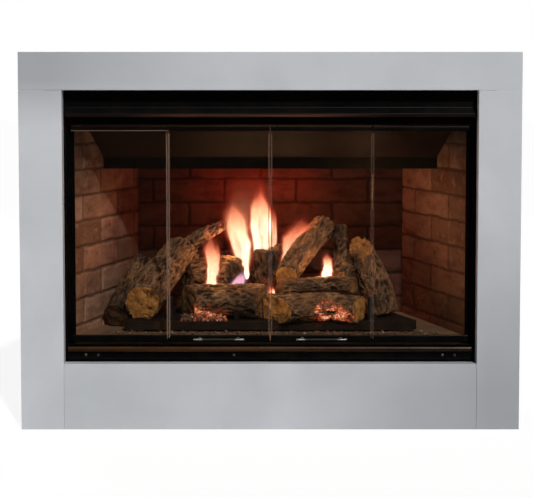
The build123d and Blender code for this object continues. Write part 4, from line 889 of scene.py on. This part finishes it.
def fire_colour(warm):
    """The colour of the gas, from 0 for its red rim to 1 for its pale heart."""
    place = warm * (len(fire_steps) - 1)
    step = min(int(place), len(fire_steps) - 2)
    return Vector(fire_steps[step]).lerp(Vector(fire_steps[step + 1]), place - step)


def flame(name, line, tongues=1, heat=1.0, blue_foot=0.0, thick=1.0, seed=0):
    """A bundle of licking tongues along a line of points and widths; each is nested shells of gas.

    Heat makes the gas brighter and paler, and thick makes it less clear. Below the share blue_foot
    of its line a flame turns blue.
    """
    spine = [at(*point[:3]) for point in line]
    widths = [point[3] / 1000 for point in line]
    pick = random.Random(seed)
    points, faces, fires, powers, covers = [], [], [], [], []
    for tongue in range(tongues):
        # The first tongue fills the line; the others are thinner, shorter and stand beside it.
        aside, tall, foot_at, share = 0.0, 1.0, 0.0, 0.92
        if tongue > 0:
            aside, tall = pick.uniform(-0.36, 0.36), pick.uniform(0.6, 0.98)
            foot_at, share = pick.uniform(0.0, 0.12), pick.uniform(0.45, 0.65)
        phase = pick.uniform(0, 50)
        for size, cover, warmth in fire_layers:
            reach = foot_at + (tall - foot_at) * (1.0 - 0.28 * warmth)
            base = len(points)
            for ring in range(flame_rings):
                up = ring / (flame_rings - 1)
                along = foot_at + (reach - foot_at) * up
                place = min(along, 0.9999) * (len(spine) - 1)
                k = min(int(place), len(spine) - 2)
                width = widths[k] + (widths[k + 1] - widths[k]) * (place - k)
                centre = spine[k].lerp(spine[k + 1], place - k)
                centre = centre + Vector((aside * width, aside * width * 0.4, 0))
                taper = min(1.0, (up + 0.02) / 0.08) ** 0.5 * min(1.0, (1.0 - up) / 0.22) ** 0.6
                sway = 0.20 * width * noise.noise(Vector((phase, 3.1, along * 4.0))) * (0.3 + 1.7 * up)
                tip = 1 - float(smoothstep(up, 0.40, 0.97))
                foot = float(smoothstep(up, 0.0, 0.08))
                tint = fire_colour(min(1.0, warmth * (0.55 + 0.45 * tip) * (0.55 + 0.45 * heat)))
                if blue_foot:
                    above = float(smoothstep(along, 0.4 * blue_foot, blue_foot))
                    tint = tint.lerp(fire_blue, 0.9 * (1 - above))
                for side in range(flame_sides):
                    angle = 2 * math.pi * side / flame_sides
                    out = Vector((math.cos(angle), 0.55 * math.sin(angle), 0))
                    rise = along * 5.0 - 0.8 * warmth
                    lick = noise.noise(Vector((out.x * 1.6 + phase, out.y * 1.6, rise)))
                    curl = noise.noise(Vector((out.x * 3.5 + phase, out.y * 3.5, along * 12.0)))
                    radius = width / 2 * share * size * taper * (1 + 0.34 * lick + 0.16 * curl)
                    points.append(centre + out * radius + Vector((sway, 0, 0)))
                fires += [tint] * flame_sides
                powers += [heat * (0.7 + 3.7 * warmth ** 2)] * flame_sides
                veil = min(0.95, thick * cover) * (0.06 + 0.94 * tip) * (0.3 + 0.7 * foot)
                covers += [veil] * flame_sides
            for ring in range(flame_rings - 1):
                first = base + ring * flame_sides
                for side in range(flame_sides):
                    a, b = first + side, first + (side + 1) % flame_sides
                    faces.append((a, b, b + flame_sides, a + flame_sides))
    piece = smooth_piece(name, points, faces, gas)
    layer = piece.data.attributes.new("fire", "FLOAT_COLOR", "POINT")
    layer.data.foreach_set("color", np.array([rgba(tint) for tint in fires], np.float32).ravel())
    paint_points(piece, "power", powers)
    paint_points(piece, "cover", covers)


# Each flame's line: millimetres across, deep and up, and its width there.
left_line = [
    (-152, 167, 326, 29), (-154, 167, 360, 28), (-155, 168, 420, 29), (-153, 170, 480, 27),
    (-144, 175, 530, 20),
]
# A faint wide painted glow of red light stands behind and above the flames.
painted_glow_line = [
    (-52, 332, 430, 90), (-58, 332, 500, 116), (-58, 334, 580, 104), (-48, 336, 660, 56),
    (-44, 338, 735, 22),
]
lean_line = [
    (-64, 238, 355, 12), (-72, 239, 398, 28), (-81, 240, 443, 43), (-92, 240, 491, 52),
    (-103, 241, 540, 48), (-112, 242, 585, 32), (-122, 243, 645, 15),
]
root_line = [(-87, 168, 340, 36), (-84, 172, 358, 28), (-77, 182, 378, 16), (-70, 198, 402, 8)]
tall_line = [
    (-19, 252, 405, 38), (-20, 253, 448, 45), (-20, 254, 490, 50), (-22, 255, 532, 47), (-25, 256, 574, 36),
    (-30, 257, 622, 22), (-38, 258, 695, 10),
]
sliver_line = [(8, 258, 425, 12), (9, 258, 480, 16), (9, 259, 530, 13), (7, 260, 585, 8)]
right_line = [
    (48, 246, 366, 22), (59, 247, 418, 40), (72, 248, 470, 50), (85, 249, 520, 46), (96, 250, 585, 20),
]
small_line = [
    (149, 161, 358, 25), (151, 162, 384, 26), (153, 163, 408, 22), (150, 165, 434, 18), (146, 167, 468, 12),
]
spot_line = [(-6, 186, 304, 34), (-4, 187, 326, 32), (2, 189, 362, 18)]
wick_line = [(7, 188, 314, 8), (8, 188, 330, 9), (8, 189, 348, 5)]
flame("flame_left", left_line, 2, heat=0.88, seed=1)
flame("flame_painted_glow", painted_glow_line, 3, heat=0.26, thick=0.08, seed=31)
flame("flame_lean", lean_line, 4, heat=1.08, thick=1.15, seed=22)
flame("flame_root", root_line, heat=0.6, blue_foot=1.4, seed=8)
flame("flame_tall", tall_line, 5, heat=1.05, seed=3)
flame("flame_sliver", sliver_line, heat=0.6, seed=9)
flame("flame_right", right_line, 3, heat=0.64, seed=5)
flame("flame_small", small_line, 2, seed=6)
flame("flame_spot", spot_line, heat=0.62, seed=7)
flame("flame_wick", wick_line, seed=10)

# Floor, light and camera
scene = bpy.context.scene


def two_faced(tree, shader, out, amount, white, dark):
    """Shows plain white to the camera, and a room that is dim in front to shiny surfaces.

    The dim room keeps the glass clear. The amount is the share of white that the camera gets.
    """
    rays = tree.nodes.new("ShaderNodeLightPath")
    for ray, share, seen in (("Is Camera Ray", amount, white), ("Is Glossy Ray", 1.0, dark)):
        factor = tree.nodes.new("ShaderNodeMath")
        factor.operation = "MULTIPLY"
        tree.links.new(rays.outputs[ray], factor.inputs[0])
        factor.inputs[1].default_value = share
        mixer = tree.nodes.new("ShaderNodeMixShader")
        tree.links.new(factor.outputs[0], mixer.inputs[0])
        tree.links.new(shader, mixer.inputs[1])
        tree.links.new(seen, mixer.inputs[2])
        shader = mixer.outputs[0]
    tree.links.new(shader, out)


def plain_light(tree, kind, strength):
    node = tree.nodes.new(kind)
    node.inputs["Color"].default_value = rgba((1, 1, 1))
    node.inputs["Strength"].default_value = strength
    return node.outputs[0]


def brighter_behind(tree, room, coordinates, reach, strengths):
    """Makes the room seen by shiny surfaces lighter towards the back of the fireplace."""
    split = tree.nodes.new("ShaderNodeSeparateXYZ")
    tree.links.new(tree.nodes.new("ShaderNodeTexCoord").outputs[coordinates], split.inputs[0])
    change = tree.nodes.new("ShaderNodeMapRange")
    tree.links.new(split.outputs["Y"], change.inputs["Value"])
    for name, number in zip(("From Min", "From Max", "To Min", "To Max"), (*reach, *strengths)):
        change.inputs[name].default_value = number
    tree.links.new(change.outputs[0], room.node.inputs["Strength"])


world = bpy.data.worlds.new("studio")
scene.world = world
world.use_nodes = True
tree = world.node_tree
tree.nodes.clear()
sky, white, room = (plain_light(tree, "ShaderNodeBackground", strength) for strength in (0.09, 1.0, 0.02))
brighter_behind(tree, room, "Generated", (0.0, 0.5), (0.02, 0.75))
result = tree.nodes.new("ShaderNodeOutputWorld")
two_faced(tree, sky, result.inputs["Surface"], 1.0, white, room)

floor_material = bpy.data.materials.new("floor_paper")
floor_material.use_nodes = True
tree = floor_material.node_tree
tree.nodes.clear()
paper = tree.nodes.new("ShaderNodeBsdfDiffuse")
paper.inputs["Color"].default_value = rgba((0.82, 0.82, 0.82))
white, room = (plain_light(tree, "ShaderNodeEmission", strength) for strength in (1.07, 0.04))
brighter_behind(tree, room, "Object", (0.1, 1.2), (0.04, 0.6))
result = tree.nodes.new("ShaderNodeOutputMaterial")
two_faced(tree, paper.outputs[0], result.inputs["Surface"], 0.82, white, room)
# The floor lies just under the feet of the part, so that the two don't flicker.
floor_half, floor_z = 30, -0.0006
corners = [(x, y, floor_z) for x, y in ((-1, -1), (1, -1), (1, 1), (-1, 1))]
floor_mesh = bpy.data.meshes.new("floor")
floor_mesh.from_pydata([(x * floor_half, y * floor_half, z) for x, y, z in corners], [], [(0, 1, 2, 3)])
floor_mesh.materials.append(floor_material)
floor = bpy.data.objects.new("floor", floor_mesh)
scene.collection.objects.link(floor)


def lamp(name, kind, place, power, colour, size, aim=None):
    """A lamp. The size is an angle for the sun, a side for an area and a radius for a point."""
    data = bpy.data.lights.new(name, kind)
    data.energy = power
    data.color = colour
    if kind == "SUN":
        data.angle = size
    elif kind == "AREA":
        data.shape = "SQUARE"
        data.size = size
    else:
        data.shadow_soft_size = size
    holder = bpy.data.objects.new(name, data)
    holder.location = place
    if aim is not None:
        holder.rotation_euler = (Vector(aim) - Vector(place)).to_track_quat("-Z", "Y").to_euler()
    scene.collection.objects.link(holder)


lamp("key", "SUN", (0.35, -1.0, 0.92), 3.05, (1.0, 0.995, 0.985), 0.035, aim=(0, 0, 0))
lamp("back_fill", "AREA", (-2.6, 3.4, 3.0), 60, (0.95, 0.97, 1.0), 1.6, aim=(0, 0.1, 0.5))
fire_red = (1.0, 0.055, 0.02)
fire_gold = (1.0, 0.56, 0.27)
# The red glow on the back wall above the flames: side, millimetres across and power.
for side, x, power in (("left", -150, 0.22), ("middle", -40, 0.56), ("right", 75, 0.26)):
    lamp("fire_glow_" + side, "POINT", at(x, 350, 615), power, fire_red, 0.03)
lamp("fire_lean", "POINT", at(-92, 215, 450), 0.7, fire_gold, 0.02)
lamp("fire_left", "POINT", at(-153, 148, 420), 0.35, fire_gold, 0.015)
lamp("fire_right", "POINT", at(60, 240, 525), 0.45, fire_gold, 0.03)
lamp("fire_air", "POINT", at(255, 165, 600), 0.36, fire_gold, 0.05)
lamp("fire_front", "POINT", at(-6, 82, 385), 0.10, (1.0, 0.70, 0.42), 0.04)
lamp("fire_small", "POINT", at(142, 146, 395), 0.3, fire_gold, 0.015)

camera_distance, camera_height, tilt_down = 3.4, 0.884, 3.391
camera_data = bpy.data.cameras.new("camera")
camera_data.sensor_width = 36.0
camera_data.lens = 90.4
camera_data.shift_x = -0.007
camera_data.shift_y = -0.158
camera = bpy.data.objects.new("camera", camera_data)
camera.location = (0.0, slab_face - camera_distance, camera_height)
camera.rotation_euler = (math.radians(90 - tilt_down), 0.0, 0.0)
scene.collection.objects.link(camera)
scene.camera = camera
scene.view_settings.view_transform = "Standard"
# A ray can pass through this many layers of flame and glass.
scene.cycles.transparent_max_bounces = 96
